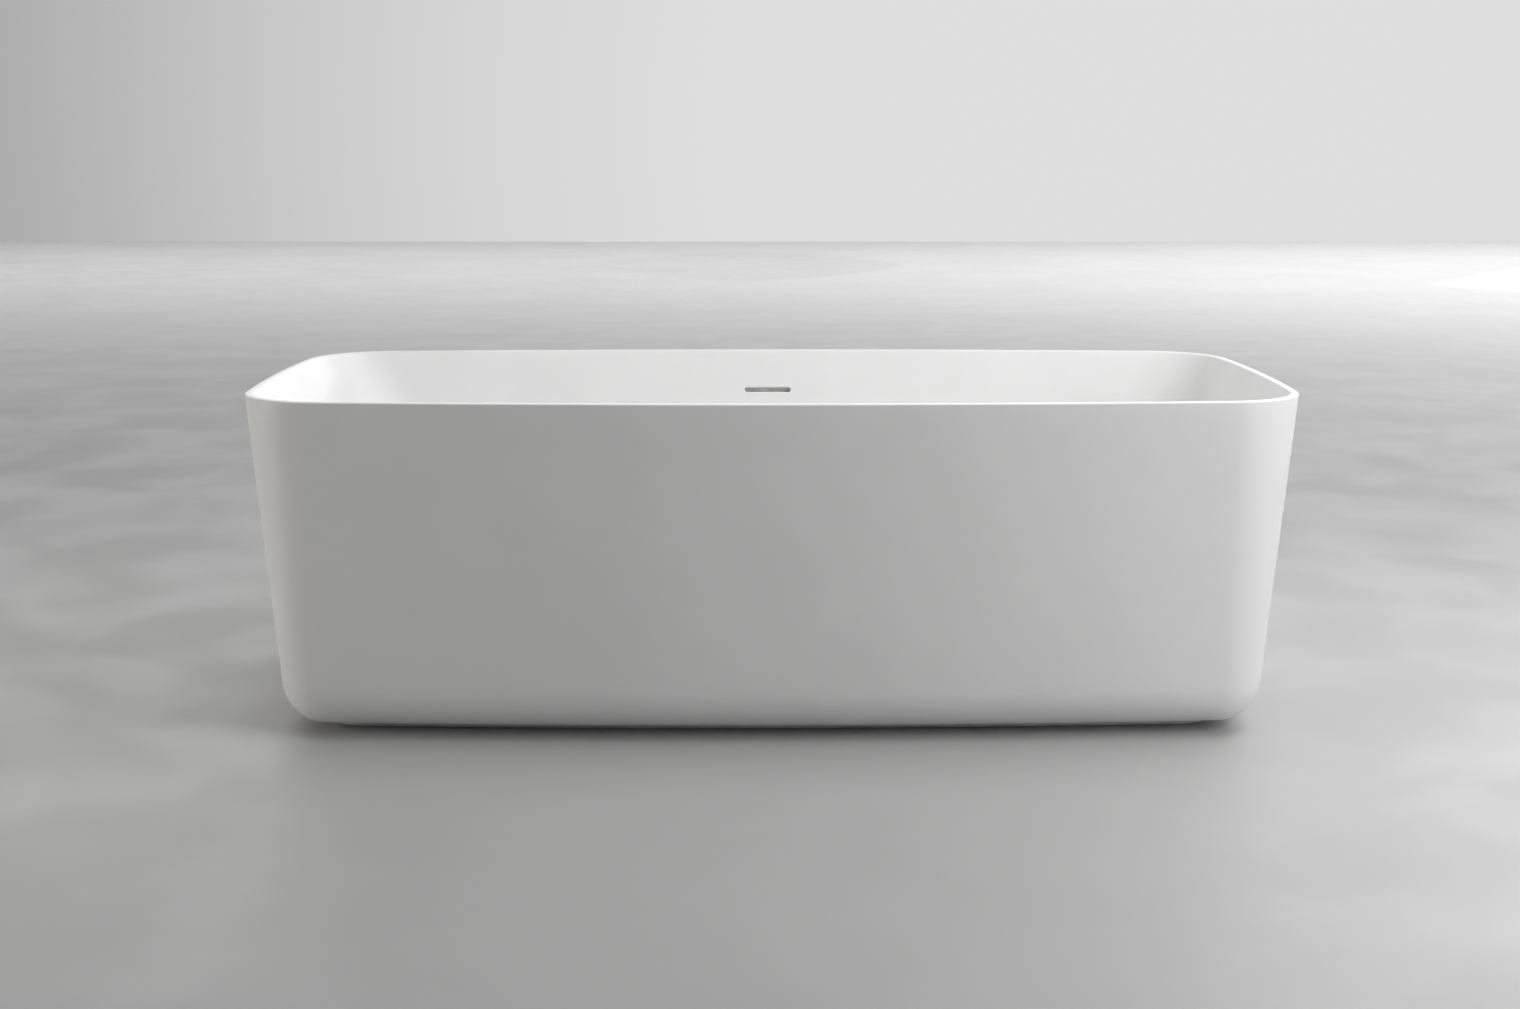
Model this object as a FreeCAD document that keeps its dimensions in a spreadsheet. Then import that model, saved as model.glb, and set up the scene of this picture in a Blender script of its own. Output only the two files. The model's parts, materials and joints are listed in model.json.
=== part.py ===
"""Freestanding bathtub with a thin rim, bowed sides and a shadow gap at the floor.

The tub stands on the XY plane with its length along X, its slotted overflow on the +Y side
and +Z up. The origin is on the floor under the middle of the tub. Lengths are millimetres.
"""
import FreeCAD, Part
import math
import os

import Sketcher

V = FreeCAD.Vector
UP = V(0, 0, 1)
ORIGIN = -1
X_AXIS = -1
Y_AXIS = -2
START, END, CENTRE = 1, 2, 3

# Every driving dimension: alias, number, meaning.
DIMENSIONS = [
    ("tub_length", 1700, "outside length at the rim"),
    ("tub_width", 760, "outside width at the rim"),
    ("rim_height", 550, "floor to rim top"),
    ("top_side_bow", 38, "rise of each long side's arc at the rim"),
    ("top_end_bow", 22, "rise of each end's arc at the rim"),
    ("top_corner_radius", 138, "plan corner radius at the rim"),
    ("base_length", 1614, "length of the tapering walls carried down to the lip"),
    ("base_width", 686, "width of the tapering walls carried down to the lip"),
    ("base_side_bow", 25.5, "rise of each long side's arc at the base"),
    ("base_end_bow", 25, "rise of each end's arc at the base"),
    ("base_corner_radius", 74, "plan corner radius at the base"),
    ("shadow_gap", 19, "floor to the casing's lower lip"),
    ("lower_curve_radius", 81, "radius of the curve that tucks the casing under"),
    ("lower_curve_degrees", 56.5, "turn of that curve, from the wall to the lip"),
    ("casing_wall", 8, "casing wall thickness"),
    ("lip_width", 75, "width of the casing's flat foot flange"),
    ("flange_thickness", 10, "thickness of that flange"),
    ("flange_opening_corner", 60, "plan corner radius of the opening inside that flange"),
    ("rim_width", 12, "width of the flat rim"),
    ("rim_slab", 36, "depth of the solid rim that stands on the casing"),
    ("rim_outer_round", 3, "round on the rim's outer edge"),
    ("rim_inner_round", 3, "round on the rim's inner edge"),
    ("basin_wall", 8, "basin wall thickness"),
    ("floor_top", 132, "height of the bathing floor"),
    ("floor_underside", 118, "height of the basin's flat underside"),
    ("floor_half_length", 663, "half length where the end slopes meet the floor"),
    ("floor_half_width", 273, "half width where the side slopes meet the floor"),
    ("floor_side_bow", 6, "rise of the floor outline's long arcs"),
    ("floor_end_bow", 26, "rise of the floor outline's end arcs"),
    ("floor_corner_radius", 180, "plan corner radius of the floor outline"),
    ("floor_round", 100, "round between walls and floor"),
    ("dish_radius", 240, "radius of the shallow fall to the waste"),
    ("dish_depth", 5, "depth of the fall to the waste"),
    ("plinth_inset", 34, "plinth face behind the lip"),
    ("plinth_width", 30, "plinth strip width"),
    ("plinth_corner_radius", 56, "plan corner radius of the plinth face"),
    ("plinth_clear", 2, "plinth underside above the floor"),
    ("slot_length", 87, "overflow slot length"),
    ("slot_height", 9, "overflow slot height"),
    ("slot_drop", 74, "rim top to the middle of the slot"),
    ("rail_length", 1160, "frame rail length"),
    ("rail_size", 40, "square tube outside size"),
    ("tube_wall", 2.5, "square tube wall"),
    ("rail_y", 170, "middle line of each rail"),
    ("rail_bottom", 24, "underside of the frame"),
    ("outer_cross_x", 560, "middle line of the end cross tubes"),
    ("inner_cross_x", 300, "middle line of the inner cross tubes"),
    ("cap_plate", 3, "end cap plate thickness"),
    ("cap_plug", 12, "end cap plug length"),
    ("block_length", 60, "support block length"),
    ("pad_thickness", 6, "rubber pad under the basin"),
    ("outer_block_x", 460, "outer support blocks"),
    ("inner_block_x", 160, "inner support blocks"),
    ("bracket_width", 40, "bracket width"),
    ("bracket_plate", 3, "bracket plate thickness"),
    ("bracket_reach", 84, "bracket leg on the casing flange"),
    ("bracket_rise", 34, "bracket leg on the rail"),
    ("bracket_x", 430, "outer brackets either side of the middle one"),
    ("bracket_screw_back", 18, "bracket's screw hole to the end of its leg"),
    ("bolt_above_middle", 4, "bracket bolts above the rail's middle line"),
    ("bolt_radius", 3, "M6 fastener radius"),
    ("screw_radius", 2.5, "M5 fastener radius"),
    ("hole_clear", 0.3, "radial clearance round fasteners"),
    ("foot_x", 520, "foot position along the tub"),
    ("sole_thickness", 3, "rubber sole thickness"),
    ("pad_radius", 25, "foot pad radius"),
    ("pad_top", 9, "height of the foot pad's top"),
    ("stud_radius", 6, "M12 stud radius"),
    ("stud_length", 52, "stud length"),
    ("thread_clear", 0.05, "radial clearance of turning threads"),
    ("insert_radius", 9, "threaded insert radius in the rail"),
    ("insert_top", 44, "top of the threaded insert"),
    ("nut_flats", 19, "M12 nut across flats"),
    ("nut_thickness", 7, "thin M12 nut"),
    ("ball_depth", 4.5, "depth of the stud's end in the foot pad"),
    ("collar_height", 3.5, "height of the stud's turning collar"),
    ("collar_overhang", 3, "collar beyond the stud, and insert flange beyond the insert"),
    ("insert_flange", 1.5, "thickness of the insert's flange"),
    ("sole_grip", 4, "foot pad's outer ring that the sole wraps"),
    ("waste_hole_radius", 25, "hole through the basin floor"),
    ("waste_flange_radius", 35, "waste flange radius"),
    ("waste_flange_thickness", 2.5, "waste flange thickness"),
    ("waste_seal", 1.5, "seal under the waste flange"),
    ("waste_thread_radius", 23, "waste flange's threaded barrel"),
    ("waste_throat_radius", 20, "waste flange's throat"),
    ("waste_barrel_end", 94, "lower end of the threaded barrel"),
    ("waste_body_radius", 29, "waste body radius"),
    ("waste_body_bottom", 66, "underside of the waste body"),
    ("tailpiece_radius", 20, "waste body's outlet radius"),
    ("tailpiece_wall", 2, "waste body's outlet wall"),
    ("tailpiece_length", 16, "waste body's outlet length"),
    ("body_collar", 4, "height and overhang of the waste body's top collar"),
    ("lower_seal", 5, "thickness of the seal under the basin floor"),
    ("cross_bar_width", 4, "width of the waste's cross bars"),
    ("cross_bar_height", 6, "height of the waste's cross bars"),
    ("cross_bar_lift", 4, "cross bars above the barrel's lower end"),
    ("cross_bar_boss", 9, "radius of the boss where the cross bars meet"),
    ("cartridge_radius", 6, "plug cartridge radius"),
    ("cartridge_head", 8, "plug cartridge head radius"),
    ("cartridge_drop", 14, "plug cartridge below the cross bars' underside"),
    ("plug_radius", 31, "plug cap radius"),
    ("plug_thickness", 5, "plug cap thickness"),
    ("plug_rise", 8, "height of the plug's dome"),
    ("stem_radius", 4, "plug stem radius"),
    ("hose_z", 80, "height of the hose's lower run"),
    ("hose_y", 325, "hose's upright run"),
    ("hose_radius", 13, "overflow hose outside radius"),
    ("hose_bore", 10, "overflow hose inside radius"),
    ("hose_bend", 54, "overflow hose bend radius"),
    ("hose_start", 33, "hose end on the waste body"),
    ("hose_top", 258, "hose end on the overflow box"),
    ("clip_radius", 15.5, "hose clip outside radius"),
    ("clip_width", 8, "hose clip width"),
    ("box_width", 116, "overflow box width"),
    ("box_wall", 1.5, "overflow box wall"),
    ("box_bottom", 264, "underside of the overflow box"),
    ("box_top", 485, "top of the overflow box"),
    ("knee_rise", 70, "knee in the box's back above its underside"),
    ("ear_thickness", 2, "overflow box screw ears"),
    ("gasket_gap", 1.2, "overflow box to basin wall"),
    ("ear_width", 150, "overflow box width over its screw ears"),
    ("ear_screw_x", 66, "overflow box screws"),
    ("trap_radius", 48, "trap cup radius"),
    ("trap_wall", 3, "trap wall"),
    ("trap_bottom", 6, "underside of the trap"),
    ("trap_rim", 50, "top of the trap cup"),
    ("trap_lid_top", 56, "top of the trap lid"),
    ("outlet_z", 28, "middle of the trap outlet"),
    ("outlet_radius", 20, "outlet pipe radius"),
    ("outlet_wall", 2, "outlet pipe wall"),
    ("outlet_spigot_radius", 19.5, "outlet pipe's turned end inside the nut"),
    ("outlet_spigot_end", 84, "end of that turned length"),
    ("outlet_start", 58, "outlet pipe's end inside the trap"),
    ("outlet_end", 152, "free end of the outlet pipe"),
    ("stub_start", 38, "trap's side stub, inner end"),
    ("stub_end", 74, "trap's side stub, outer end"),
    ("stub_thread", 1.5, "stub's thread radius beyond the outlet pipe"),
    ("outlet_nut_start", 62, "outlet nut's near face"),
    ("outlet_nut_length", 20, "outlet nut length"),
    ("outlet_nut_overhang", 6, "outlet nut radius beyond the outlet pipe"),
    ("outlet_nut_lip", 4.8, "outlet nut's end wall"),
    ("outlet_seal_length", 3, "seal between stub and outlet nut"),
]


class Size:
    """A length that carries both its number and the sheet expression it comes from."""

    def __init__(self, value, text):
        self.value = float(value)
        self.text = text

    def _join(self, other, sign, value, swapped=False):
        pair = (text_of(other), self.text) if swapped else (self.text, text_of(other))
        return Size(value, "(" + pair[0] + " " + sign + " " + pair[1] + ")")

    def __add__(self, other):
        return self._join(other, "+", self.value + value_of(other))

    def __radd__(self, other):
        return self._join(other, "+", self.value + value_of(other), True)

    def __sub__(self, other):
        return self._join(other, "-", self.value - value_of(other))

    def __rsub__(self, other):
        return self._join(other, "-", value_of(other) - self.value, True)

    def __mul__(self, other):
        return self._join(other, "*", self.value * value_of(other))

    def __rmul__(self, other):
        return self._join(other, "*", self.value * value_of(other), True)

    def __truediv__(self, other):
        return self._join(other, "/", self.value / value_of(other))

    def __neg__(self):
        return Size(-self.value, "(0 - " + self.text + ")")


def value_of(size):
    return size.value if isinstance(size, Size) else float(size)


def text_of(size):
    return size.text if isinstance(size, Size) else repr(float(size))


class Named:
    """The sheet's dimensions as attributes, each one a Size."""

    def __init__(self, rows):
        for alias, number, _ in rows:
            setattr(self, alias, Size(number, "Dimensions." + alias))


def fill_sheet(doc):
    sheet = doc.addObject("Spreadsheet::Sheet", "Dimensions")
    for row, (alias, number, meaning) in enumerate(DIMENSIONS, start=1):
        sheet.set("A%d" % row, meaning)
        sheet.set("B%d" % row, str(number))
        sheet.setAlias("B%d" % row, alias)
    doc.recompute()


doc = FreeCAD.newDocument("bathtub")
fill_sheet(doc)
d = Named(DIMENSIONS)
sub_parts = []


# ---------------------------------------------------------------- small helpers

def bind(feature, prop, size):
    """Give a property its number, and its sheet expression where it has one."""
    if isinstance(size, Size):
        feature.setExpression(prop, size.text)
    else:
        setattr(feature, prop, size)


def place(feature, x=0, y=0, z=0, turn=0, axis=UP):
    """Put a feature at x, y, z, turned about an axis through its own origin."""
    base = V(value_of(x), value_of(y), value_of(z))
    feature.Placement = FreeCAD.Placement(base, FreeCAD.Rotation(axis, value_of(turn)))
    for letter, size in (("x", x), ("y", y), ("z", z)):
        if isinstance(size, Size):
            feature.setExpression("Placement.Base." + letter, size.text)
    return feature


def node(feature, label):
    """Name a finished piece; its label is the name of its file."""
    feature.Label = label
    sub_parts.append(feature)
    return feature


def block(name, length, width, height, x, y, z):
    """A box centred on x and y that rises from z."""
    box = doc.addObject("Part::Box", name)
    bind(box, "Length", length)
    bind(box, "Width", width)
    bind(box, "Height", height)
    return place(box, x - length / 2, y - width / 2, z)


def rod(name, radius, height, x=0, y=0, z=0, turn=0, axis=UP):
    cylinder = doc.addObject("Part::Cylinder", name)
    bind(cylinder, "Radius", radius)
    bind(cylinder, "Height", height)
    return place(cylinder, x, y, z, turn, axis)


def cut(name, base, *tools):
    """Take one or more tools away from a base."""
    tool = tools[0] if len(tools) == 1 else fuse(name + "_tools", *tools)
    result = doc.addObject("Part::Cut", name)
    result.Base = base
    result.Tool = tool
    return result


def fuse(name, *shapes):
    result = doc.addObject("Part::MultiFuse", name)
    result.Shapes = list(shapes)
    return result


def common(name, *shapes):
    result = doc.addObject("Part::MultiCommon", name)
    result.Shapes = list(shapes)
    return result


def group(label, members):
    """Identical separate solids that share one node."""
    result = doc.addObject("Part::Compound", label)
    result.Links = members
    return node(result, label)


def ring(name, outer, inner, height, x=0, y=0, z=0, turn=0, axis=UP):
    """A plain washer or collar."""
    outside = rod(name + "_outside", outer, height, x, y, z, turn, axis)
    inside = rod(name + "_inside", inner, height, x, y, z, turn, axis)
    return cut(name, outside, inside)


def hex_nut(name, flats, thickness, bore, x=0, y=0, z=0):
    prism = doc.addObject("Part::Prism", name + "_hexagon")
    prism.Polygon = 6
    bind(prism, "Circumradius", flats / math.sqrt(3))
    bind(prism, "Height", thickness)
    place(prism, x, y, z)
    return cut(name, prism, rod(name + "_bore", bore, thickness, x, y, z))


def new_body(name):
    return doc.addObject("PartDesign::Body", name)


def plane_of(body, role):
    for item in body.Origin.OriginFeatures:
        if item.Role == role:
            return item
    raise ValueError("no plane " + role)


def sketch_on(body, name, role, offset=0):
    """A sketch on one of the body's own origin planes, moved along that plane's normal."""
    sketch = body.newObject("Sketcher::SketchObject", name)
    sketch.AttachmentSupport = [(plane_of(body, role), "")]
    sketch.MapMode = "FlatFace"
    if value_of(offset):
        sketch.AttachmentOffset = FreeCAD.Placement(V(0, 0, value_of(offset)), FreeCAD.Rotation())
        if isinstance(offset, Size):
            sketch.setExpression("AttachmentOffset.Base.z", offset.text)
    return sketch


def dimension(sketch, kind, references, size):
    """A driving sketch dimension bound to the sheet."""
    index = sketch.addConstraint(Sketcher.Constraint(kind, *references, value_of(size)))
    if isinstance(size, Size):
        sketch.setExpression("Constraints[%d]" % index, size.text)


def pin_point(sketch, geometry, end, x, y):
    """Hold one point of a sketch at x, y."""
    for kind, size, axis in (("DistanceX", x, Y_AXIS), ("DistanceY", y, X_AXIS)):
        if value_of(size) == 0:
            rule = Sketcher.Constraint("PointOnObject", geometry, end, axis)
            sketch.addConstraint(rule)
        else:
            dimension(sketch, kind, (ORIGIN, START, geometry, end), size)


def polygon(sketch, points):
    """A closed outline of straight lines through points given as pairs of sizes."""
    corners = [V(value_of(x), value_of(y), 0) for x, y in points]
    count = len(corners)
    for i in range(count):
        sketch.addGeometry(Part.LineSegment(corners[i], corners[(i + 1) % count]), False)
    for i in range(count):
        joint = Sketcher.Constraint("Coincident", i, END, (i + 1) % count, START)
        sketch.addConstraint(joint)
    for i, (x, y) in enumerate(points):
        pin_point(sketch, i, START, x, y)


def circle(sketch, x, y, radius):
    centre = V(value_of(x), value_of(y), 0)
    index = sketch.addGeometry(Part.Circle(centre, UP, value_of(radius)), False)
    dimension(sketch, "Radius", (index,), radius)
    pin_point(sketch, index, CENTRE, x, y)


def turned(name, profile, x=0, y=0, z=0, turn=0, axis=UP):
    """A body turned about its own Z axis from (radius, height) points."""
    body = new_body(name)
    sketch = sketch_on(body, name + "_profile", "XZ_Plane")
    polygon(sketch, profile)
    spin = body.newObject("PartDesign::Revolution", name + "_turning")
    spin.Profile = sketch
    spin.ReferenceAxis = (sketch, ["V_Axis"])
    spin.Angle = 360
    return place(body, x, y, z, turn, axis)


def extruded(name, role, points, length, x=0, y=0, z=0):
    """A body padded evenly both ways from an origin plane."""
    body = new_body(name)
    sketch = sketch_on(body, name + "_profile", role)
    polygon(sketch, points)
    pad = body.newObject("PartDesign::Pad", name + "_pad")
    pad.Profile = sketch
    pad.SideType = "Symmetric"
    bind(pad, "Length", length)
    return place(body, x, y, z)


# ---------------------------------------------------------------- the tub's plan outlines

class Outline:
    """A rounded rectangle of eight tangent arcs: bowed sides, bowed ends, round corners."""

    def __init__(self, half_length, half_width, side_radius, end_radius, corner_radius):
        self.half_length = half_length
        self.half_width = half_width
        self.side_radius = side_radius
        self.end_radius = end_radius
        self.corner_radius = corner_radius

    def inset(self, distance):
        """The parallel outline inside this one."""
        return Outline(self.half_length - distance, self.half_width - distance,
                       self.side_radius - distance, self.end_radius - distance,
                       self.corner_radius - distance)

    def with_corner(self, corner_radius):
        return Outline(self.half_length, self.half_width, self.side_radius, self.end_radius,
                       corner_radius)


def bow_radius(half_chord, rise):
    return (half_chord * half_chord + rise * rise) / (rise * 2)


def bowed_outline(length, width, side_bow, end_bow, corner_radius):
    return Outline(length / 2, width / 2, bow_radius(length / 2, side_bow),
                   bow_radius(width / 2, end_bow), corner_radius)


def blend(low, high, share):
    """The outline part of the way from one to another."""
    names = ("half_length", "half_width", "side_radius", "end_radius", "corner_radius")
    mixed = []
    for name in names:
        start = getattr(low, name)
        mixed.append(start + (getattr(high, name) - start) * share)
    return Outline(*mixed)


def corner_centre(outline):
    """Centre of the corner arc in the +X +Y quarter, and the arcs' two meeting angles."""
    side_y = value_of(outline.half_width - outline.side_radius)
    end_x = value_of(outline.half_length - outline.end_radius)
    to_side = value_of(outline.side_radius - outline.corner_radius)
    to_end = value_of(outline.end_radius - outline.corner_radius)
    gap = math.hypot(end_x, side_y)
    along = (to_side ** 2 - to_end ** 2 + gap ** 2) / (2 * gap)
    across = math.sqrt(to_side ** 2 - along ** 2)
    ux = end_x / gap
    uy = -side_y / gap
    x = ux * along - uy * across
    y = side_y + uy * along + ux * across
    if x < 0 or y < 0:
        x = ux * along + uy * across
        y = side_y + uy * along - ux * across
    return x, y, math.atan2(y - side_y, x), math.atan2(y, x - end_x)


def draw_outline(name, outline, height):
    """The outline as a sketch that lies flat at a height, held by sheet dimensions."""
    sketch = doc.addObject("Sketcher::SketchObject", name)
    place(sketch, z=height)
    corner_x, corner_y, side_angle, end_angle = corner_centre(outline)
    side = value_of(outline.side_radius)
    end = value_of(outline.end_radius)
    corner = value_of(outline.corner_radius)
    side_y = value_of(outline.half_width) - side
    end_x = value_of(outline.half_length) - end
    half_turn = math.pi

    def arc(x, y, radius, first, last):
        round_arc = Part.ArcOfCircle(Part.Circle(V(x, y, 0), UP, radius), first, last)
        return sketch.addGeometry(round_arc, False)

    right = arc(end_x, 0, end, -end_angle, end_angle)
    back_right = arc(corner_x, corner_y, corner, end_angle, side_angle)
    back = arc(0, side_y, side, side_angle, half_turn - side_angle)
    back_left = arc(-corner_x, corner_y, corner, half_turn - side_angle, half_turn - end_angle)
    left = arc(-end_x, 0, end, half_turn - end_angle, half_turn + end_angle)
    front_left = arc(-corner_x, -corner_y, corner, half_turn + end_angle, half_turn + side_angle)
    front = arc(0, -side_y, side, half_turn + side_angle, 2 * half_turn - side_angle)
    front_right = arc(corner_x, -corner_y, corner, -side_angle, -end_angle)
    loop = [right, back_right, back, back_left, left, front_left, front, front_right]
    for here, there in zip(loop, loop[1:] + loop[:1]):
        sketch.addConstraint(Sketcher.Constraint("Tangent", here, END, there, START))
    for arc_index in (back, front):
        sketch.addConstraint(Sketcher.Constraint("PointOnObject", arc_index, CENTRE, Y_AXIS))
        dimension(sketch, "Radius", (arc_index,), outline.side_radius)
    for arc_index in (left, right):
        sketch.addConstraint(Sketcher.Constraint("PointOnObject", arc_index, CENTRE, X_AXIS))
        dimension(sketch, "Radius", (arc_index,), outline.end_radius)
    for arc_index in (back_left, back_right, front_left, front_right):
        dimension(sketch, "Radius", (arc_index,), outline.corner_radius)
    beyond_width = outline.side_radius - outline.half_width
    beyond_length = outline.end_radius - outline.half_length
    dimension(sketch, "DistanceY", (back, CENTRE, ORIGIN, START), beyond_width)
    dimension(sketch, "DistanceY", (ORIGIN, START, front, CENTRE), beyond_width)
    dimension(sketch, "DistanceX", (ORIGIN, START, left, CENTRE), beyond_length)
    dimension(sketch, "DistanceX", (right, CENTRE, ORIGIN, START), beyond_length)
    return sketch


def loft(name, low, low_height, high, high_height):
    """A straight-walled solid between two outlines at two heights."""
    result = doc.addObject("Part::Loft", name)
    result.Sections = [draw_outline(name + "_low", low, low_height),
                       draw_outline(name + "_high", high, high_height)]
    result.Solid = True
    result.Ruled = True
    return result


def round_edges(name, base, radius, height):
    """Round every edge of a solid that lies at one height."""
    doc.recompute()
    level = value_of(height)
    chosen = []
    for index, edge in enumerate(base.Shape.Edges, start=1):
        if all(abs(vertex.Z - level) < 0.01 for vertex in edge.Vertexes):
            chosen.append((index, value_of(radius), value_of(radius)))
    result = doc.addObject("Part::Fillet", name)
    result.Base = base
    result.Edges = chosen
    return result


top_outline = bowed_outline(d.tub_length, d.tub_width, d.top_side_bow, d.top_end_bow,
                            d.top_corner_radius)
base_outline = bowed_outline(d.base_length, d.base_width, d.base_side_bow, d.base_end_bow,
                             d.base_corner_radius)
curve_angle = math.radians(value_of(d.lower_curve_degrees))
curve_height = d.lower_curve_radius * math.sin(curve_angle)
curve_tuck = d.lower_curve_radius * (1 - math.cos(curve_angle))
lip_outline = base_outline.inset(curve_tuck)
full_curve_bottom = d.shadow_gap + curve_height - d.lower_curve_radius
slab_underside = d.rim_height - d.rim_slab
wall_rise = d.rim_height - d.shadow_gap


def casing_outline(height):
    """The casing's outside at a height, on its straight tapering walls."""
    return blend(base_outline, top_outline, (height - d.shadow_gap) / wall_rise)


def casing_form(name, inset, bottom, top):
    """The casing's outside, or a parallel skin inside it, with its lower edge rounded."""
    low = casing_outline(bottom).inset(inset)
    high = casing_outline(top).inset(inset)
    body = loft(name + "_walls", low, bottom, high, top)
    return round_edges(name, body, d.lower_curve_radius - inset, bottom)


# ---------------------------------------------------------------- casing, basin, plinth

def make_outer_shell():
    """Casing: a tapering wall that tucks under to a lip, with a flat foot flange."""
    outside = casing_form("casing_outside", 0, full_curve_bottom, slab_underside)
    over = slab_underside + 1
    inside = casing_form("casing_inside", d.casing_wall,
                         full_curve_bottom + d.casing_wall, over)
    hollow = cut("casing_hollow", outside, inside)
    room = value_of(d.tub_length) * 2
    above_lip = block("casing_above_lip", room, room, d.rim_height, 0, 0, d.shadow_gap)
    wall = common("casing_wall_only", hollow, above_lip)
    flange_edge = lip_outline.inset(d.casing_wall / 2)
    flange_plate = loft("flange_plate", flange_edge, d.shadow_gap,
                        flange_edge, d.shadow_gap + d.flange_thickness)
    opening = lip_outline.inset(d.lip_width).with_corner(d.flange_opening_corner)
    flange_opening = loft("flange_opening", opening, d.shadow_gap - 1,
                          opening, d.shadow_gap + d.flange_thickness + 1)
    flange = cut("casing_flange", flange_plate, flange_opening)
    shell = fuse("casing", wall, flange)
    node(cut("outer_shell", shell, *flange_screw_holes("shell")), "outer_shell")


def bracket_places():
    """Where the brackets sit: x, and the side of the tub as +1 or -1."""
    places = []
    for x in (-d.bracket_x, Size(0, "0"), d.bracket_x):
        for side in (-1, 1):
            places.append((x, side))
    return places


def flange_screw_y(side):
    return (d.rail_y + d.rail_size / 2 + d.bracket_reach - d.bracket_screw_back) * side


def flange_screw_holes(prefix):
    """Clearance holes for the screws that hold the brackets down on the flange."""
    holes = []
    for index, (x, side) in enumerate(bracket_places()):
        name = prefix + "_screw_hole_%d" % index
        radius = d.screw_radius + d.hole_clear
        holes.append(rod(name, radius, d.flange_thickness + 2, x, flange_screw_y(side),
                         d.shadow_gap + 1))
    return holes


def basin_skin(name, wall, floor, top, round_radius):
    """The basin's inside, or the parallel skin outside it, open upward."""
    rim = top_outline.inset(d.rim_width - wall)
    low = bowed_outline(d.floor_half_length * 2, d.floor_half_width * 2, d.floor_side_bow,
                        d.floor_end_bow, d.floor_corner_radius).inset(-wall)
    share = (floor - d.floor_top) / (d.rim_height - d.floor_top)
    body = loft(name + "_walls", blend(low, rim, share), floor,
                blend(low, rim, (top - d.floor_top) / (d.rim_height - d.floor_top)), top)
    return round_edges(name, body, round_radius, floor)


def make_basin():
    """Basin: sloped walls, a rounded floor with a fall to the waste, and the flat rim."""
    slab_low = casing_outline(slab_underside)
    slab = loft("rim_slab_form", slab_low, slab_underside, top_outline, d.rim_height)
    bowl = basin_skin("basin_outside", d.basin_wall, d.floor_underside, d.rim_height - 1,
                      d.floor_round + d.basin_wall)
    solid = fuse("basin_solid", slab, bowl)
    well = basin_skin("basin_well", Size(0, "0"), d.floor_top, d.rim_height + 1, d.floor_round)
    dish = doc.addObject("Part::Cone", "waste_dish")
    bind(dish, "Radius1", d.waste_flange_radius + 1)
    bind(dish, "Radius2", d.dish_radius)
    bind(dish, "Height", d.dish_depth)
    place(dish, z=d.floor_top - d.dish_depth)
    recess_depth = d.waste_flange_thickness + d.waste_seal
    recess = rod("waste_recess", d.waste_flange_radius + 1, recess_depth + 1, 0, 0,
                 d.floor_top - d.dish_depth - recess_depth)
    hole = rod("waste_hole", d.waste_hole_radius, d.floor_top, 0, 0, d.shadow_gap)
    slot = overflow_slot("basin_slot", d.slot_length, d.slot_height)
    tools = [well, dish, recess, hole, slot] + ear_screw_holes("basin")
    basin = cut("basin_cut", solid, *tools)
    edged = round_edges_near_rim("basin_edged", basin)
    node(edged, "basin")


def round_edges_near_rim(name, base):
    """Round the rim's outer and inner top edges."""
    doc.recompute()
    level = value_of(d.rim_height)
    middle = value_of(d.tub_length) / 2 - value_of(d.rim_width) / 2
    across = value_of(d.tub_width) / 2 - value_of(d.rim_width) / 2
    chosen = []
    for index, edge in enumerate(base.Shape.Edges, start=1):
        if not all(abs(vertex.Z - level) < 0.01 for vertex in edge.Vertexes):
            continue
        centre = edge.valueAt((edge.FirstParameter + edge.LastParameter) / 2)
        radius = d.rim_outer_round if is_outer_edge(centre, middle, across) else d.rim_inner_round
        chosen.append((index, value_of(radius), value_of(radius)))
    result = doc.addObject("Part::Fillet", name)
    result.Base = base
    result.Edges = chosen
    return result


def is_outer_edge(point, middle, across):
    """Whether a point on the rim's top lies on the outer of its two edges."""
    if abs(point.x) < 1:
        return abs(point.y) > across
    if abs(point.y) < 1:
        return abs(point.x) > middle
    corner_x, corner_y, _, _ = corner_centre(top_outline)
    reach = math.hypot(abs(point.x) - corner_x, abs(point.y) - corner_y)
    return reach > value_of(d.top_corner_radius) - value_of(d.rim_width) / 2


def make_base_plinth():
    """Plinth: the set-back strip under the casing that leaves the shadow gap."""
    face = lip_outline.inset(d.plinth_inset).with_corner(d.plinth_corner_radius)
    back = face.inset(d.plinth_width)
    outside = loft("plinth_outside", face, d.plinth_clear, face, d.shadow_gap)
    inside = loft("plinth_inside", back, d.plinth_clear - 1, back, d.shadow_gap + 1)
    node(cut("base_plinth", outside, inside), "base_plinth")


# ---------------------------------------------------------------- frame

def make_rail(label, side):
    """Square tube along the tub, drilled for the feet's inserts and the bracket bolts."""
    y = d.rail_y * side
    outside = block(label + "_outside", d.rail_length, d.rail_size, d.rail_size, 0, y,
                    d.rail_bottom)
    bore = d.rail_size - d.tube_wall * 2
    inside = block(label + "_inside", d.rail_length + 2, bore, bore, 0, y,
                   d.rail_bottom + d.tube_wall)
    tools = [inside]
    for end, x in (("left", -d.foot_x), ("right", d.foot_x)):
        name = label + "_insert_hole_" + end
        tools.append(rod(name, d.insert_radius, d.tube_wall + 2, x, y, d.rail_bottom - 1))
    for index, (x, place_side) in enumerate(bracket_places()):
        if place_side == side:
            name = label + "_bolt_hole_%d" % index
            tools.append(bolt_hole(name, x, side))
    node(cut(label, outside, *tools), label)


def bolt_height():
    return d.rail_bottom + d.rail_size / 2 + d.bolt_above_middle


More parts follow.
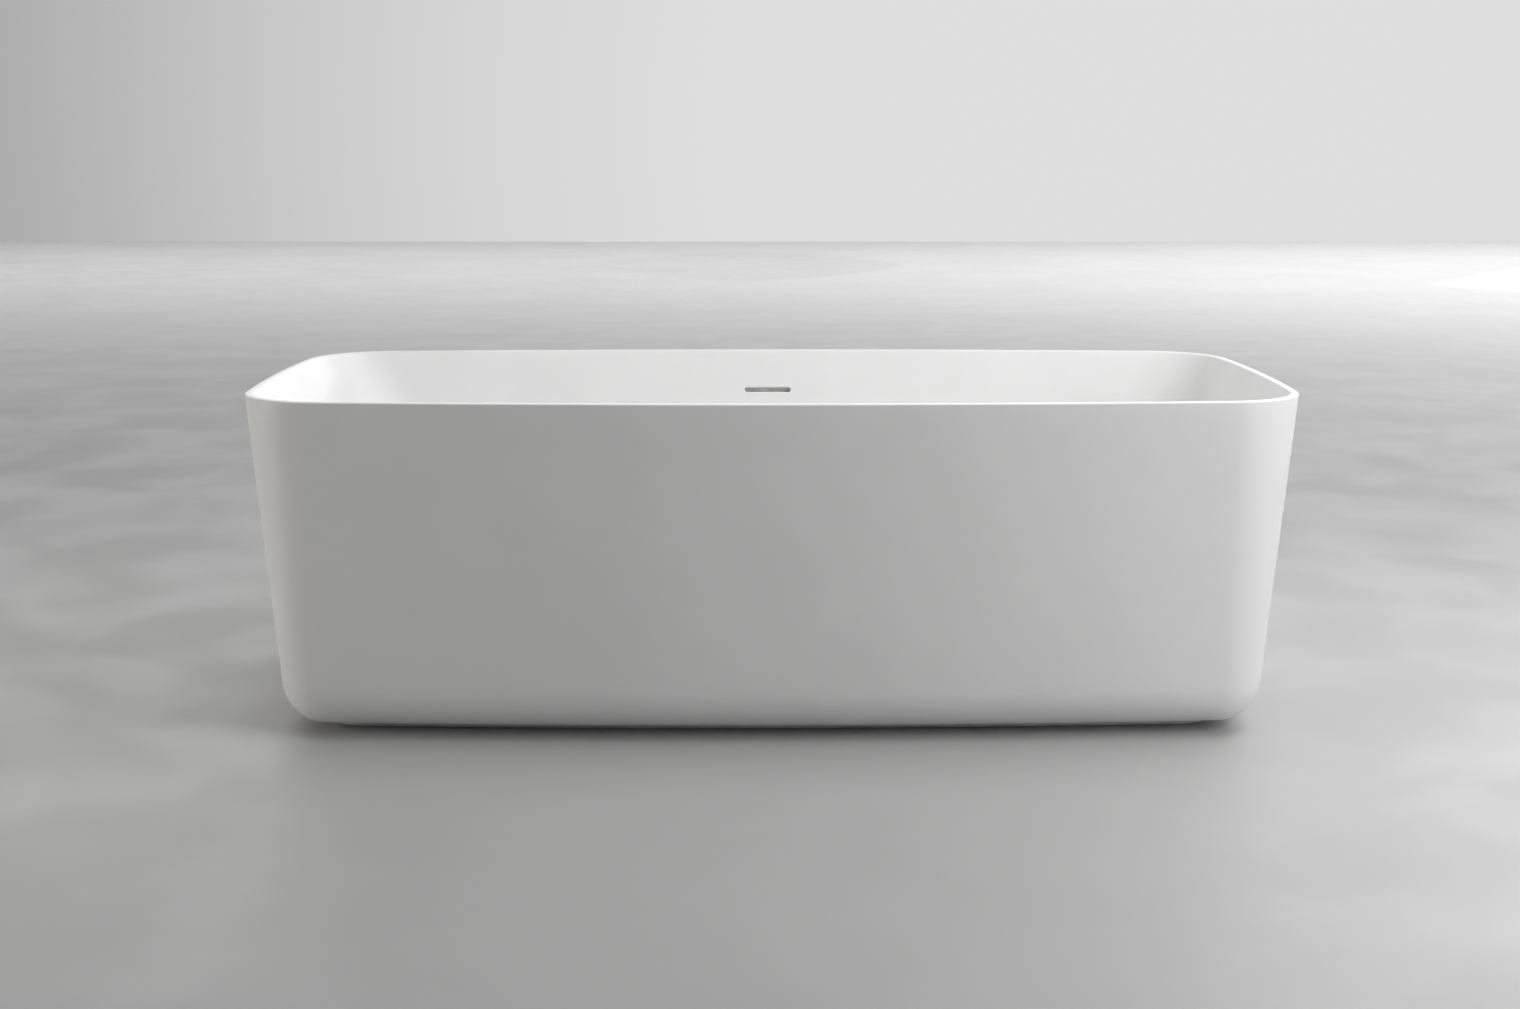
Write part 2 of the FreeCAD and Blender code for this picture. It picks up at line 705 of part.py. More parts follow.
def bolt_hole(name, x, side):
    """Hole for a bracket bolt, from inside the rail out through its wall and the bracket."""
    y = (d.rail_y + d.rail_size / 2 - d.tube_wall - 1) * side
    return rod(name, d.bolt_radius + d.hole_clear, d.tube_wall + d.bracket_plate + 2, x, y,
               bolt_height(), -90 * side, V(1, 0, 0))


def make_cross_tube(label, x):
    """Square tube between the two rails."""
    span = (d.rail_y * 2) - d.rail_size
    bore = d.rail_size - d.tube_wall * 2
    outside = block(label + "_outside", d.rail_size, span, d.rail_size, x, 0, d.rail_bottom)
    inside = block(label + "_inside", bore, span + 2, bore, x, 0, d.rail_bottom + d.tube_wall)
    node(cut(label, outside, inside), label)


def make_rail_caps():
    """Plastic caps that close the rails' open ends."""
    caps = []
    bore = d.rail_size - d.tube_wall * 2
    middle = d.rail_bottom + d.rail_size / 2
    for end in (-1, 1):
        for side in (-1, 1):
            name = "cap_%s_%s" % ("right" if end > 0 else "left", "back" if side > 0 else "front")
            plate = block(name + "_plate", d.cap_plate, d.rail_size, d.rail_size,
                          (d.rail_length / 2 + d.cap_plate / 2) * end, d.rail_y * side,
                          d.rail_bottom)
            plug = block(name + "_plug", d.cap_plug, bore, bore,
                         (d.rail_length / 2 - d.cap_plug / 2) * end, d.rail_y * side,
                         middle - bore / 2)
            caps.append(fuse(name, plate, plug))
    group("rail_end_caps", caps)


def support_places():
    places = []
    for x in (-d.outer_block_x, -d.inner_block_x, d.inner_block_x, d.outer_block_x):
        for side in (-1, 1):
            places.append((x, side))
    return places


def make_supports():
    """Blocks on the rails and the rubber pads that the basin's underside rests on."""
    rail_top = d.rail_bottom + d.rail_size
    pad_bottom = d.floor_underside - d.pad_thickness
    blocks = []
    pads = []
    for index, (x, side) in enumerate(support_places()):
        y = d.rail_y * side
        blocks.append(block("support_block_%d" % index, d.block_length, d.rail_size,
                            pad_bottom - rail_top, x, y, rail_top))
        pads.append(block("support_pad_%d" % index, d.block_length, d.rail_size,
                          d.pad_thickness, x, y, pad_bottom))
    group("support_blocks", blocks)
    group("support_pads", pads)


def make_brackets():
    """Angle brackets from the rails to the casing's flange, with their bolts and screws."""
    brackets = []
    bolts = []
    screws = []
    for index, (x, side) in enumerate(bracket_places()):
        name = "bracket_%d" % index
        rail_face = (d.rail_y + d.rail_size / 2) * side
        flange_top = d.shadow_gap + d.flange_thickness
        corner = ((0, 0), (d.bracket_reach * side, 0),
                  (d.bracket_reach * side, d.bracket_plate),
                  (d.bracket_plate * side, d.bracket_plate),
                  (d.bracket_plate * side, d.bracket_rise), (0, d.bracket_rise))
        angle = extruded(name + "_angle", "YZ_Plane", corner, d.bracket_width, x, rail_face,
                         flange_top)
        screw_hole = rod(name + "_screw_hole", d.screw_radius + d.hole_clear,
                         d.bracket_plate + 2, x, flange_screw_y(side), flange_top - 1)
        brackets.append(cut(name, angle, screw_hole, bolt_hole(name + "_bolt_hole", x, side)))
        bolts.append(make_bolt("bracket_bolt_%d" % index, x, side))
        screws.append(make_screw("flange_screw_%d" % index, x, flange_screw_y(side),
                                 flange_top + d.bracket_plate))
    group("shell_brackets", brackets)
    group("bracket_bolts", bolts)
    group("flange_screws", screws)


def make_bolt(name, x, side):
    """M6 bolt through a bracket into the rail: shank inward, round head outward."""
    head_radius = d.bolt_radius * 1.7
    head_height = d.bolt_radius * 1.3
    shank = d.tube_wall + d.bracket_plate + 3
    profile = [(0, 0), (d.bolt_radius, 0), (d.bolt_radius, shank), (head_radius, shank),
               (head_radius, shank + head_height * 0.6), (d.bolt_radius, shank + head_height),
               (0, shank + head_height)]
    outer_face = d.rail_y + d.rail_size / 2 + d.bracket_plate
    return turned(name, profile, x, (outer_face - shank) * side, bolt_height(),
                  -90 * side, V(1, 0, 0))


def make_screw(name, x, y, seat):
    """M5 screw with a low head that points down from its seat."""
    head_radius = d.screw_radius * 2
    length = d.bracket_plate + d.flange_thickness - 2
    profile = [(0, -length), (d.screw_radius, -length), (d.screw_radius, 0), (head_radius, 0),
               (head_radius, 1), (head_radius * 0.6, 2.6), (0, 2.6)]
    return turned(name, profile, x, y, seat)


# ---------------------------------------------------------------- feet

FEET = [("front_left", -1, -1), ("front_right", 1, -1), ("back_left", -1, 1),
        ("back_right", 1, 1)]
TOUCH = 0.1


def make_feet():
    """Four levelling feet: rubber sole, pad, turning stud, lock nut and rail insert."""
    inserts = []
    lock_nuts = []
    for where, end, side in FEET:
        x = d.foot_x * end
        y = d.rail_y * side
        make_sole("foot_sole_" + where, x, y)
        make_pad("foot_pad_" + where, x, y)
        make_stud("foot_stud_" + where, x, y)
        inserts.append(make_insert("rail_insert_" + where, x, y))
        lock_nuts.append(hex_nut("lock_nut_" + where, d.nut_flats, d.nut_thickness,
                                 d.stud_radius + d.thread_clear, x, y,
                                 d.rail_bottom - d.insert_flange - d.nut_thickness))
    group("rail_inserts", inserts)
    group("foot_lock_nuts", lock_nuts)


def make_sole(label, x, y):
    grip = d.pad_radius - d.sole_grip
    profile = [(0, 0), (d.pad_radius - 1, 0), (d.pad_radius, 1), (d.pad_radius, d.sole_thickness),
               (grip, d.sole_thickness), (grip, d.sole_thickness - 1),
               (0, d.sole_thickness - 1)]
    node(turned(label, profile, x, y), label)


def make_pad(label, x, y):
    """Pad with a raised boss and a blind socket for the stud's ball end."""
    socket = d.stud_radius - 1 + d.thread_clear
    grip = d.pad_radius - d.sole_grip
    profile = [(0, d.sole_thickness - 1), (grip, d.sole_thickness - 1),
               (grip, d.sole_thickness), (d.pad_radius, d.sole_thickness),
               (d.pad_radius, d.sole_thickness + 2), (d.pad_radius * 0.55, d.pad_top),
               (socket, d.pad_top), (socket, d.pad_top - d.ball_depth),
               (0, d.pad_top - d.ball_depth)]
    node(turned(label, profile, x, y), label)


def make_stud(label, x, y):
    """M12 stud: a pin in the pad, a collar to turn it by, and the thread above."""
    pin = d.stud_radius - 1
    collar = d.stud_radius + d.collar_overhang
    top = d.pad_top + d.stud_length
    profile = [(0, d.pad_top - d.ball_depth + TOUCH), (pin, d.pad_top - d.ball_depth + TOUCH),
               (pin, d.pad_top + TOUCH), (collar, d.pad_top + TOUCH),
               (collar, d.pad_top + d.collar_height),
               (d.stud_radius, d.pad_top + d.collar_height),
               (d.stud_radius, top - 1), (d.stud_radius - 1, top), (0, top)]
    node(turned(label, profile, x, y), label)


def make_insert(name, x, y):
    """Threaded insert pressed into the rail's underside."""
    bore = d.stud_radius + d.thread_clear
    flange = d.insert_radius + d.collar_overhang
    profile = [(bore, d.rail_bottom - d.insert_flange), (flange, d.rail_bottom - d.insert_flange),
               (flange, d.rail_bottom), (d.insert_radius, d.rail_bottom),
               (d.insert_radius, d.insert_top), (bore, d.insert_top)]
    return turned(name, profile, x, y)


# ---------------------------------------------------------------- waste and plug

flange_top = d.floor_top - d.dish_depth
flange_under = flange_top - d.waste_flange_thickness
bar_bottom = d.waste_barrel_end + d.cross_bar_lift
body_top = d.floor_underside - d.lower_seal
screwed = d.waste_thread_radius + 0.5
BACKWARD = V(1, 0, 0)
SIDEWAYS = V(0, 1, 0)


def make_waste_flange():
    """Plated flange with a threaded barrel and a cross bar that carries the plug cartridge."""
    edge = 1
    fall = 0.8
    throat_round = 3
    profile = [(d.waste_throat_radius, d.waste_barrel_end),
               (d.waste_thread_radius, d.waste_barrel_end),
               (d.waste_thread_radius, flange_under),
               (d.waste_flange_radius - edge, flange_under),
               (d.waste_flange_radius, flange_under + edge),
               (d.waste_flange_radius - edge * 2, flange_top),
               (d.waste_throat_radius + throat_round, flange_top - fall),
               (d.waste_throat_radius, flange_top - throat_round)]
    barrel = turned("waste_flange_turning", profile)
    span = (d.waste_throat_radius + edge) * 2
    bars = []
    for name, length, width in (("x", span, d.cross_bar_width), ("y", d.cross_bar_width, span)):
        bars.append(block("waste_bar_" + name, length, width, d.cross_bar_height, 0, 0,
                          bar_bottom))
    boss = rod("waste_boss", d.cross_bar_boss, d.cross_bar_height, 0, 0, bar_bottom)
    hole = rod("waste_boss_hole", d.cartridge_radius + d.thread_clear, d.cross_bar_height + 2,
               0, 0, bar_bottom - 1)
    node(cut("waste_flange", fuse("waste_flange_body", barrel, *bars, boss), hole),
         "waste_flange")


def make_waste_seals():
    upper = ring("waste_seal_upper", d.waste_flange_radius - 1, d.waste_thread_radius + TOUCH,
                 d.waste_seal, 0, 0, flange_under - d.waste_seal)
    node(upper, "waste_seal_upper")
    wide = d.waste_body_radius + d.body_collar
    bevel = 2
    lower = turned("waste_seal_lower", [(screwed, body_top), (wide, body_top),
                                        (wide - bevel, d.floor_underside),
                                        (screwed, d.floor_underside)])
    node(lower, "waste_seal_lower")


def make_waste_body():
    """Moulded body under the floor: takes the flange's barrel and the overflow's inlet."""
    wide = d.waste_body_radius + d.body_collar
    outlet = d.tailpiece_radius
    tail_end = d.waste_body_bottom - d.tailpiece_length
    floor_wall = 3
    profile = [(screwed, body_top), (wide, body_top), (wide, body_top - d.body_collar),
               (d.waste_body_radius, body_top - d.body_collar),
               (d.waste_body_radius, d.waste_body_bottom),
               (outlet, d.waste_body_bottom - floor_wall), (outlet, tail_end),
               (outlet - d.tailpiece_wall, tail_end),
               (outlet - d.tailpiece_wall, d.waste_body_bottom),
               (screwed, d.waste_body_bottom + floor_wall)]
    cup = turned("waste_cup", profile)
    root = screwed + TOUCH
    overlap = 26
    spigot = rod("waste_spigot", d.hose_bore - 0.2, d.hose_start + overlap - root, 0, root,
                 d.hose_z, -90, BACKWARD)
    shoulder = rod("waste_shoulder", d.hose_bore + 4, d.hose_start - root - 1, 0, root,
                   d.hose_z, -90, BACKWARD)
    bore = rod("waste_spigot_bore", d.hose_bore - 2.5, d.hose_start + overlap, 0, root / 2,
               d.hose_z, -90, BACKWARD)
    core = rod("waste_core", screwed, body_top - d.waste_body_bottom - floor_wall, 0, 0,
               d.waste_body_bottom + floor_wall)
    outside = fuse("waste_outside", cup, spigot, shoulder)
    node(cut("waste_body", outside, bore, core), "waste_body")


def make_plug():
    """Press plug: dome cap, its seal and stem, and the cartridge that holds it up or down."""
    seat = flange_top + 0.2
    edge = d.plug_radius
    rim = 4
    profile = [(0, seat + 1), (edge - rim, seat + 1), (edge - rim, seat),
               (edge - rim / 2, seat - TOUCH), (edge, seat + 1.5),
               (edge - 1, seat + d.plug_thickness - 1.5),
               (edge * 0.7, seat + d.plug_rise - 1.6), (edge * 0.35, seat + d.plug_rise - 0.4),
               (0, seat + d.plug_rise)]
    node(turned("plug_cap", profile), "plug_cap")
    seal_inner = d.waste_throat_radius - 3
    seal_outer = d.waste_throat_radius - 0.6
    seal = turned("plug_seal", [(seal_inner, seat - 1), (seal_outer, seat - 0.6),
                                (seal_outer, seat + 1), (seal_inner, seat + 1)])
    node(seal, "plug_seal")
    stem_foot = bar_bottom + 2
    stem = turned("plug_stem", [(0, stem_foot), (d.stem_radius, stem_foot),
                                (d.stem_radius, seat + 1), (0, seat + 1)])
    node(stem, "plug_stem")
    bore = d.stem_radius + d.thread_clear
    bottom = bar_bottom - d.cartridge_drop
    head_under = bar_bottom + d.cross_bar_height
    head_top = head_under + 3
    cartridge = turned("plug_cartridge", [(0, bottom), (d.cartridge_radius, bottom),
                                          (d.cartridge_radius, head_under),
                                          (d.cartridge_head, head_under),
                                          (d.cartridge_head, head_top), (bore, head_top),
                                          (bore, stem_foot - 0.5), (0, stem_foot - 0.5)])
    node(cartridge, "plug_cartridge")


# ---------------------------------------------------------------- trap

def make_trap():
    make_trap_body()
    make_trap_lid()
    make_trap_inlet()
    make_trap_outlet()


def outlet_rod(name, radius, start, end):
    """A rod on the outlet's own axis, between two places along it."""
    return rod(name, radius, end - start, start, 0, d.outlet_z, 90, SIDEWAYS)


def make_trap_body():
    """The trap's cup with the threaded stub for its outlet."""
    cup_inside = d.trap_radius - d.trap_wall
    bevel = 6
    inner_bevel = 5
    floor = d.trap_bottom + d.trap_wall
    wall_foot = floor + inner_bevel - 1
    cup = turned("trap_cup", [(0, d.trap_bottom), (d.trap_radius - bevel, d.trap_bottom),
                              (d.trap_radius, d.trap_bottom + bevel),
                              (d.trap_radius, d.trap_rim), (cup_inside, d.trap_rim),
                              (cup_inside, wall_foot), (cup_inside - inner_bevel, floor),
                              (0, floor)])
    stub = outlet_rod("trap_stub", d.outlet_radius + d.stub_thread, d.stub_start, d.stub_end)
    bore = outlet_rod("trap_stub_bore", d.outlet_radius - d.outlet_wall, d.stub_start - 8,
                      d.stub_end + 1)
    socket = outlet_rod("trap_socket", d.outlet_radius + 0.2, d.outlet_start - 2, d.stub_end + 1)
    room = rod("trap_room", cup_inside, d.trap_rim - wall_foot, 0, 0, wall_foot)
    node(cut("trap_body", fuse("trap_outside", cup, stub), bore, socket, room), "trap_body")


def make_trap_lid():
    """Screwed lid with the dip tube that holds the water seal, and its gasket."""
    dip_outer = d.tailpiece_radius + 3
    dip_bore = d.tailpiece_radius + 0.3
    dip_end = d.trap_bottom + 12
    under = d.trap_rim + 0.5
    edge = 3
    lid = turned("trap_lid_turning", [(dip_bore, dip_end), (dip_outer, dip_end),
                                      (dip_outer, under), (d.trap_radius, under),
                                      (d.trap_radius, d.trap_lid_top - edge),
                                      (dip_outer + edge, d.trap_lid_top),
                                      (dip_bore, d.trap_lid_top)])
    node(lid, "trap_lid")
    gasket = ring("trap_lid_gasket", d.trap_radius - 0.2, d.trap_radius - d.trap_wall, 0.5, 0, 0,
                  d.trap_rim)
    node(gasket, "trap_lid_gasket")


def make_trap_inlet():
    """Nut and seal that hold the waste body's tail in the trap's lid."""
    bore = d.tailpiece_radius + 0.4
    seal_top = d.trap_lid_top + 2
    nut_top = seal_top + 5
    edge = 2
    collar = turned("trap_inlet_nut", [(bore, seal_top), (d.waste_body_radius, seal_top),
                                       (d.waste_body_radius, nut_top - edge),
                                       (d.waste_body_radius - edge, nut_top),
                                       (bore, nut_top)])
    node(collar, "trap_inlet_nut")
    seal = ring("trap_inlet_seal", d.tailpiece_radius + 5, d.tailpiece_radius + 0.2, 2, 0, 0,
                d.trap_lid_top)
    node(seal, "trap_inlet_seal")


def make_trap_outlet():
    """Outlet pipe, and the ribbed nut and seal that hold it in the stub."""
    spigot = outlet_rod("outlet_spigot", d.outlet_spigot_radius, d.outlet_start,
                        d.outlet_spigot_end)
    pipe = outlet_rod("outlet_pipe_outside", d.outlet_radius, d.outlet_spigot_end, d.outlet_end)
    bore = outlet_rod("outlet_pipe_bore", d.outlet_radius - d.outlet_wall, d.outlet_start - 1,
                      d.outlet_end + 1)
    node(cut("trap_outlet_pipe", fuse("outlet_pipe_solid", spigot, pipe), bore),
         "trap_outlet_pipe")
    seal_outside = outlet_rod("outlet_seal_outside", d.outlet_radius + d.stub_thread - TOUCH,
                              d.stub_end, d.stub_end + d.outlet_seal_length)
    seal_hole = outlet_rod("outlet_seal_hole", d.outlet_spigot_radius + TOUCH, d.stub_end - 1,
                           d.stub_end + d.outlet_seal_length + 1)
    node(cut("trap_outlet_seal", seal_outside, seal_hole), "trap_outlet_seal")
    start = d.outlet_nut_start
    end = start + d.outlet_nut_length
    radius = d.outlet_radius + d.outlet_nut_overhang
    outside = outlet_rod("outlet_nut_outside", radius, start, end)
    room = outlet_rod("outlet_nut_room", d.outlet_radius + d.stub_thread + 0.2, start,
                      end - d.outlet_nut_lip)
    hole = outlet_rod("outlet_nut_hole", d.outlet_radius + 0.3, start - 1, end + 1)
    groove = 2.2
    grooves = []
    for index in range(8):
        angle = math.radians(45 * index)
        grooves.append(rod("outlet_nut_groove_%d" % index, groove, d.outlet_nut_length + 2,
                           start - 1, radius * math.cos(angle),
                           d.outlet_z + radius * math.sin(angle), 90, SIDEWAYS))
    node(cut("trap_outlet_nut", outside, room, hole, *grooves), "trap_outlet_nut")


# ---------------------------------------------------------------- overflow

slot_z = d.rim_height - d.slot_drop
wall_slope = (d.tub_width / 2 - d.rim_width - d.floor_half_width) / (d.rim_height - d.floor_top)
EAR_SCREW_BITE = 5
BOX_TO_CASING = 0.8
KNEE_TO_CASING = 6
MOUTH_DEPTH = 6.4
MOUTH_MARGIN = 2


def basin_back_y(height):
    """The outer face of the basin's back wall at a height, over the tub's middle."""
    inside = d.tub_width / 2 - d.rim_width - (d.rim_height - height) * wall_slope
    return inside + d.basin_wall


def casing_back_y(height):
    """The inner face of the casing's back wall at a height, over the tub's middle."""
    slope = (d.tub_width - d.base_width) / 2 / wall_rise
    return d.tub_width / 2 - (d.rim_height - height) * slope - d.casing_wall


def overflow_slot(name, length, height):
    """Slot with round ends, cut straight through the basin's back wall."""
    half = height / 2
    depth = 60
    y = basin_back_y(slot_z) - depth / 2
    bar = block(name + "_bar", length - height, depth, height, 0, y + depth / 2, slot_z - half)
    ends = []
    for end in (-1, 1):
        x = (length / 2 - half) * end
        ends.append(rod(name + "_end_%d" % (end + 1), half, depth, x, y, slot_z, -90, BACKWARD))
    return fuse(name, bar, *ends)


def ear_screw_holes(prefix):
    """Blind holes in the back of the basin wall for the overflow box's screws."""
    holes = []
    for end in (-1, 1):
        y = basin_back_y(slot_z) - EAR_SCREW_BITE - 1
        holes.append(rod(prefix + "_ear_hole_%d" % (end + 1), d.screw_radius + d.thread_clear, 20,
                         d.ear_screw_x * end, y, slot_z, -90, BACKWARD))
    return holes


def make_overflow_box():
    """Flat moulded channel behind the slot that widens down to the hose spigot."""
    gap = d.gasket_gap
    front = [(basin_back_y(z) + gap, z) for z in (d.box_bottom, d.box_top)]
    knee = d.box_bottom + d.knee_rise
    foot = d.box_bottom + 20
    back_low = d.hose_y + d.hose_radius
    back = [(casing_back_y(d.box_top) - BOX_TO_CASING, d.box_top),
            (casing_back_y(knee) - KNEE_TO_CASING, knee), (back_low, foot),
            (back_low, d.box_bottom)]
    outside = extruded("overflow_box_outside", "YZ_Plane", front + back, d.box_width)
    wall = d.box_wall
    low = d.box_bottom + wall
    high = d.box_top - wall
    inner_front = [(basin_back_y(z) + gap + wall, z) for z in (low, high)]
    inner_back = [(casing_back_y(high) - BOX_TO_CASING - wall, high),
                  (casing_back_y(knee) - KNEE_TO_CASING - wall, knee), (back_low - wall, foot),
                  (back_low - wall, low)]
    channel = extruded("overflow_channel", "YZ_Plane", inner_front + inner_back,
                       d.box_width - wall * 2)
    mouth = block("overflow_mouth", d.slot_length + MOUTH_MARGIN * 2, MOUTH_DEPTH,
                  d.slot_height + MOUTH_MARGIN * 2, 0, basin_back_y(slot_z) + gap,
                  slot_z - d.slot_height / 2 - MOUTH_MARGIN)
    ear_low = slot_z - 14
    ear_high = slot_z + 12
    ear_back = gap + d.ear_thickness
    ears_outline = [(basin_back_y(ear_low) + gap, ear_low),
                    (basin_back_y(ear_high) + gap, ear_high),
                    (basin_back_y(ear_high) + ear_back, ear_high),
                    (basin_back_y(ear_low) + ear_back, ear_low)]
    ears = extruded("overflow_ears", "YZ_Plane", ears_outline, d.ear_width)
    spigot_low = d.hose_top - 20
    spigot = rod("overflow_spigot", d.hose_bore - 0.2, d.box_bottom + 1 - spigot_low, 0, d.hose_y,
                 spigot_low)
    bore = rod("overflow_spigot_bore", d.hose_bore - 2.5, d.box_bottom + 4 - spigot_low, 0,
               d.hose_y, spigot_low - 1)
    holes = []
    for end in (-1, 1):
        holes.append(rod("overflow_ear_hole_%d" % (end + 1), d.screw_radius + d.hole_clear, 30,
                         d.ear_screw_x * end, basin_back_y(slot_z) - EAR_SCREW_BITE, slot_z, -90,
                         BACKWARD))
    body = fuse("overflow_box_solid", outside, ears, spigot)
    node(cut("overflow_box", body, channel, mouth, bore, *holes), "overflow_box")


def make_overflow_gasket():
    """Foam gasket between the basin's wall and the overflow box, round the slot."""
    inner = 0.2
    thin = d.gasket_gap - inner * 2
    low = slot_z - 12
    high = slot_z + 10
    profile = [(basin_back_y(low) + inner, low), (basin_back_y(high) + inner, high),
               (basin_back_y(high) + inner + thin, high), (basin_back_y(low) + inner + thin, low)]
    sheet = extruded("gasket_sheet", "YZ_Plane", profile, d.box_width)
    window = overflow_slot("gasket_window", d.slot_length + 3, d.slot_height + 3)
    node(cut("overflow_gasket", sheet, window), "overflow_gasket")


def make_overflow_screws():
    """Two screws that hold the box's ears to the basin wall."""
    screws = []
    tilt_clear = 1.1
    seat = d.gasket_gap + d.ear_thickness + tilt_clear
    length = seat + EAR_SCREW_BITE - 1
    profile = [(0, -length), (d.screw_radius, -length), (d.screw_radius, 0),
               (d.screw_radius * 1.8, 0), (d.screw_radius * 1.5, 1.8), (0, 2)]
    for end in (-1, 1):
        screws.append(turned("ear_screw_%d" % (end + 1), profile, d.ear_screw_x * end,
                             basin_back_y(slot_z) + seat, slot_z, -90, BACKWARD))
    group("overflow_screws", screws)


def make_overflow_hose():
    """Hose from the waste body, level under the basin, then up to the overflow box."""
    body = new_body("overflow_hose")
    path = sketch_on(body, "hose_path", "YZ_Plane")
    bend = d.hose_bend
    turn_y = d.hose_y - bend
    turn_z = d.hose_z + bend
    start = V(value_of(d.hose_start), value_of(d.hose_z), 0)
    corner_in = V(value_of(turn_y), value_of(d.hose_z), 0)
    corner_out = V(value_of(d.hose_y), value_of(turn_z), 0)
    finish = V(value_of(d.hose_y), value_of(d.hose_top), 0)
    level = path.addGeometry(Part.LineSegment(start, corner_in), False)
    bend_circle = Part.Circle(V(value_of(turn_y), value_of(turn_z), 0), UP, value_of(bend))
    elbow = path.addGeometry(Part.ArcOfCircle(bend_circle, -math.pi / 2, 0), False)
    upright = path.addGeometry(Part.LineSegment(corner_out, finish), False)
    path.addConstraint(Sketcher.Constraint("Tangent", level, END, elbow, START))
    path.addConstraint(Sketcher.Constraint("Tangent", elbow, END, upright, START))
    path.addConstraint(Sketcher.Constraint("Horizontal", level))
    path.addConstraint(Sketcher.Constraint("Vertical", upright))
    pin_point(path, level, START, d.hose_start, d.hose_z)
    pin_point(path, upright, END, d.hose_y, d.hose_top)
    dimension(path, "Radius", (elbow,), bend)
    section = sketch_on(body, "hose_section", "XZ_Plane", -d.hose_start)
    circle(section, 0, d.hose_z, d.hose_radius)
    circle(section, 0, d.hose_z, d.hose_bore)
    pipe = body.newObject("PartDesign::AdditivePipe", "hose_pipe")
    pipe.Profile = section
    pipe.Spine = path
    node(place(body), "overflow_hose")


def make_hose_clips():
    """Clips that hold the hose on its two spigots."""
    lower = ring("hose_clip_lower", d.clip_radius, d.hose_radius + 0.05, d.clip_width, 0,
                 d.hose_start + d.clip_width, d.hose_z, -90, BACKWARD)
    node(lower, "hose_clip_lower")
    upper = ring("hose_clip_upper", d.clip_radius, d.hose_radius + 0.05, d.clip_width, 0,
                 d.hose_y, d.hose_top - d.clip_width * 1.5)
    node(upper, "hose_clip_upper")


# ---------------------------------------------------------------- assembly and export

def build():
    make_outer_shell()
    make_basin()
    make_base_plinth()
    make_rail("frame_rail_front", -1)
    make_rail("frame_rail_back", 1)
    make_cross_tube("frame_cross_left_end", -d.outer_cross_x)
    make_cross_tube("frame_cross_left", -d.inner_cross_x)
    make_cross_tube("frame_cross_right", d.inner_cross_x)
    make_cross_tube("frame_cross_right_end", d.outer_cross_x)
    make_rail_caps()
    make_supports()
    make_brackets()
    make_feet()
    make_waste_flange()
    make_waste_seals()
    make_waste_body()
    make_plug()
    make_trap()
    make_overflow_box()
    make_overflow_gasket()
    make_overflow_screws()
    make_overflow_hose()
    make_hose_clips()
    doc.recompute()


def check():
    """Stop before writing anything if a feature failed or a piece is not a sound solid."""
    for item in doc.Objects:
        if "Invalid" in item.State or "Error" in item.State:
            raise RuntimeError(item.Name + " failed: " + str(item.State))
    for piece in sub_parts:
        shape = piece.Shape
        if shape.isNull() or not shape.isValid() or not shape.Solids:
            raise RuntimeError(piece.Label + " has no valid solid")
        if shape.Volume <= 0:
            raise RuntimeError(piece.Label + " is inside out")


def export():
    os.makedirs("parts", exist_ok=True)
    for piece in sub_parts:
        piece.Shape.exportStep("parts/" + piece.Label + ".step")
        print("%-26s solids %2d  volume %10.1f cm3" % (piece.Label, len(piece.Shape.Solids),
                                                      piece.Shape.Volume / 1000))


build()
check()
export()
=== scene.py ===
import json
import math

import bmesh
import bpy
from mathutils import Matrix, Vector


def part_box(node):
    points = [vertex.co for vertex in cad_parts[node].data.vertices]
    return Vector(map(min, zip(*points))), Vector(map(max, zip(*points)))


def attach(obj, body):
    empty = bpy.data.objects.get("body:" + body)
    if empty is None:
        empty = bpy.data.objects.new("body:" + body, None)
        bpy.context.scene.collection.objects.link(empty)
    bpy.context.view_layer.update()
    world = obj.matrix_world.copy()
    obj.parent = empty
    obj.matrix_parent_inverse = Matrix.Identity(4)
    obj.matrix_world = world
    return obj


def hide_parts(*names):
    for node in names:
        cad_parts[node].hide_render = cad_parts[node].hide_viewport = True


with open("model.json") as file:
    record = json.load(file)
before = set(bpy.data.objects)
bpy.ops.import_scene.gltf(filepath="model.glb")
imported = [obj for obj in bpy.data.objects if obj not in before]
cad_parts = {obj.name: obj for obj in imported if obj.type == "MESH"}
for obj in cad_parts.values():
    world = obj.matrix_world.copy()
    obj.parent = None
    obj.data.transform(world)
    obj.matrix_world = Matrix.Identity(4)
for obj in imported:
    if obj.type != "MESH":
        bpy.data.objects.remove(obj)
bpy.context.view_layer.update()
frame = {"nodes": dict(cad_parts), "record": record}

MM = 0.001
TURN = 2 * math.pi

# Steps round each of the eight arcs of an outline: end, corner, side, corner, and so on.
END_STEPS, CORNER_STEPS, SIDE_STEPS = 24, 22, 60


# ---------------------------------------------------------------- outlines of the tub

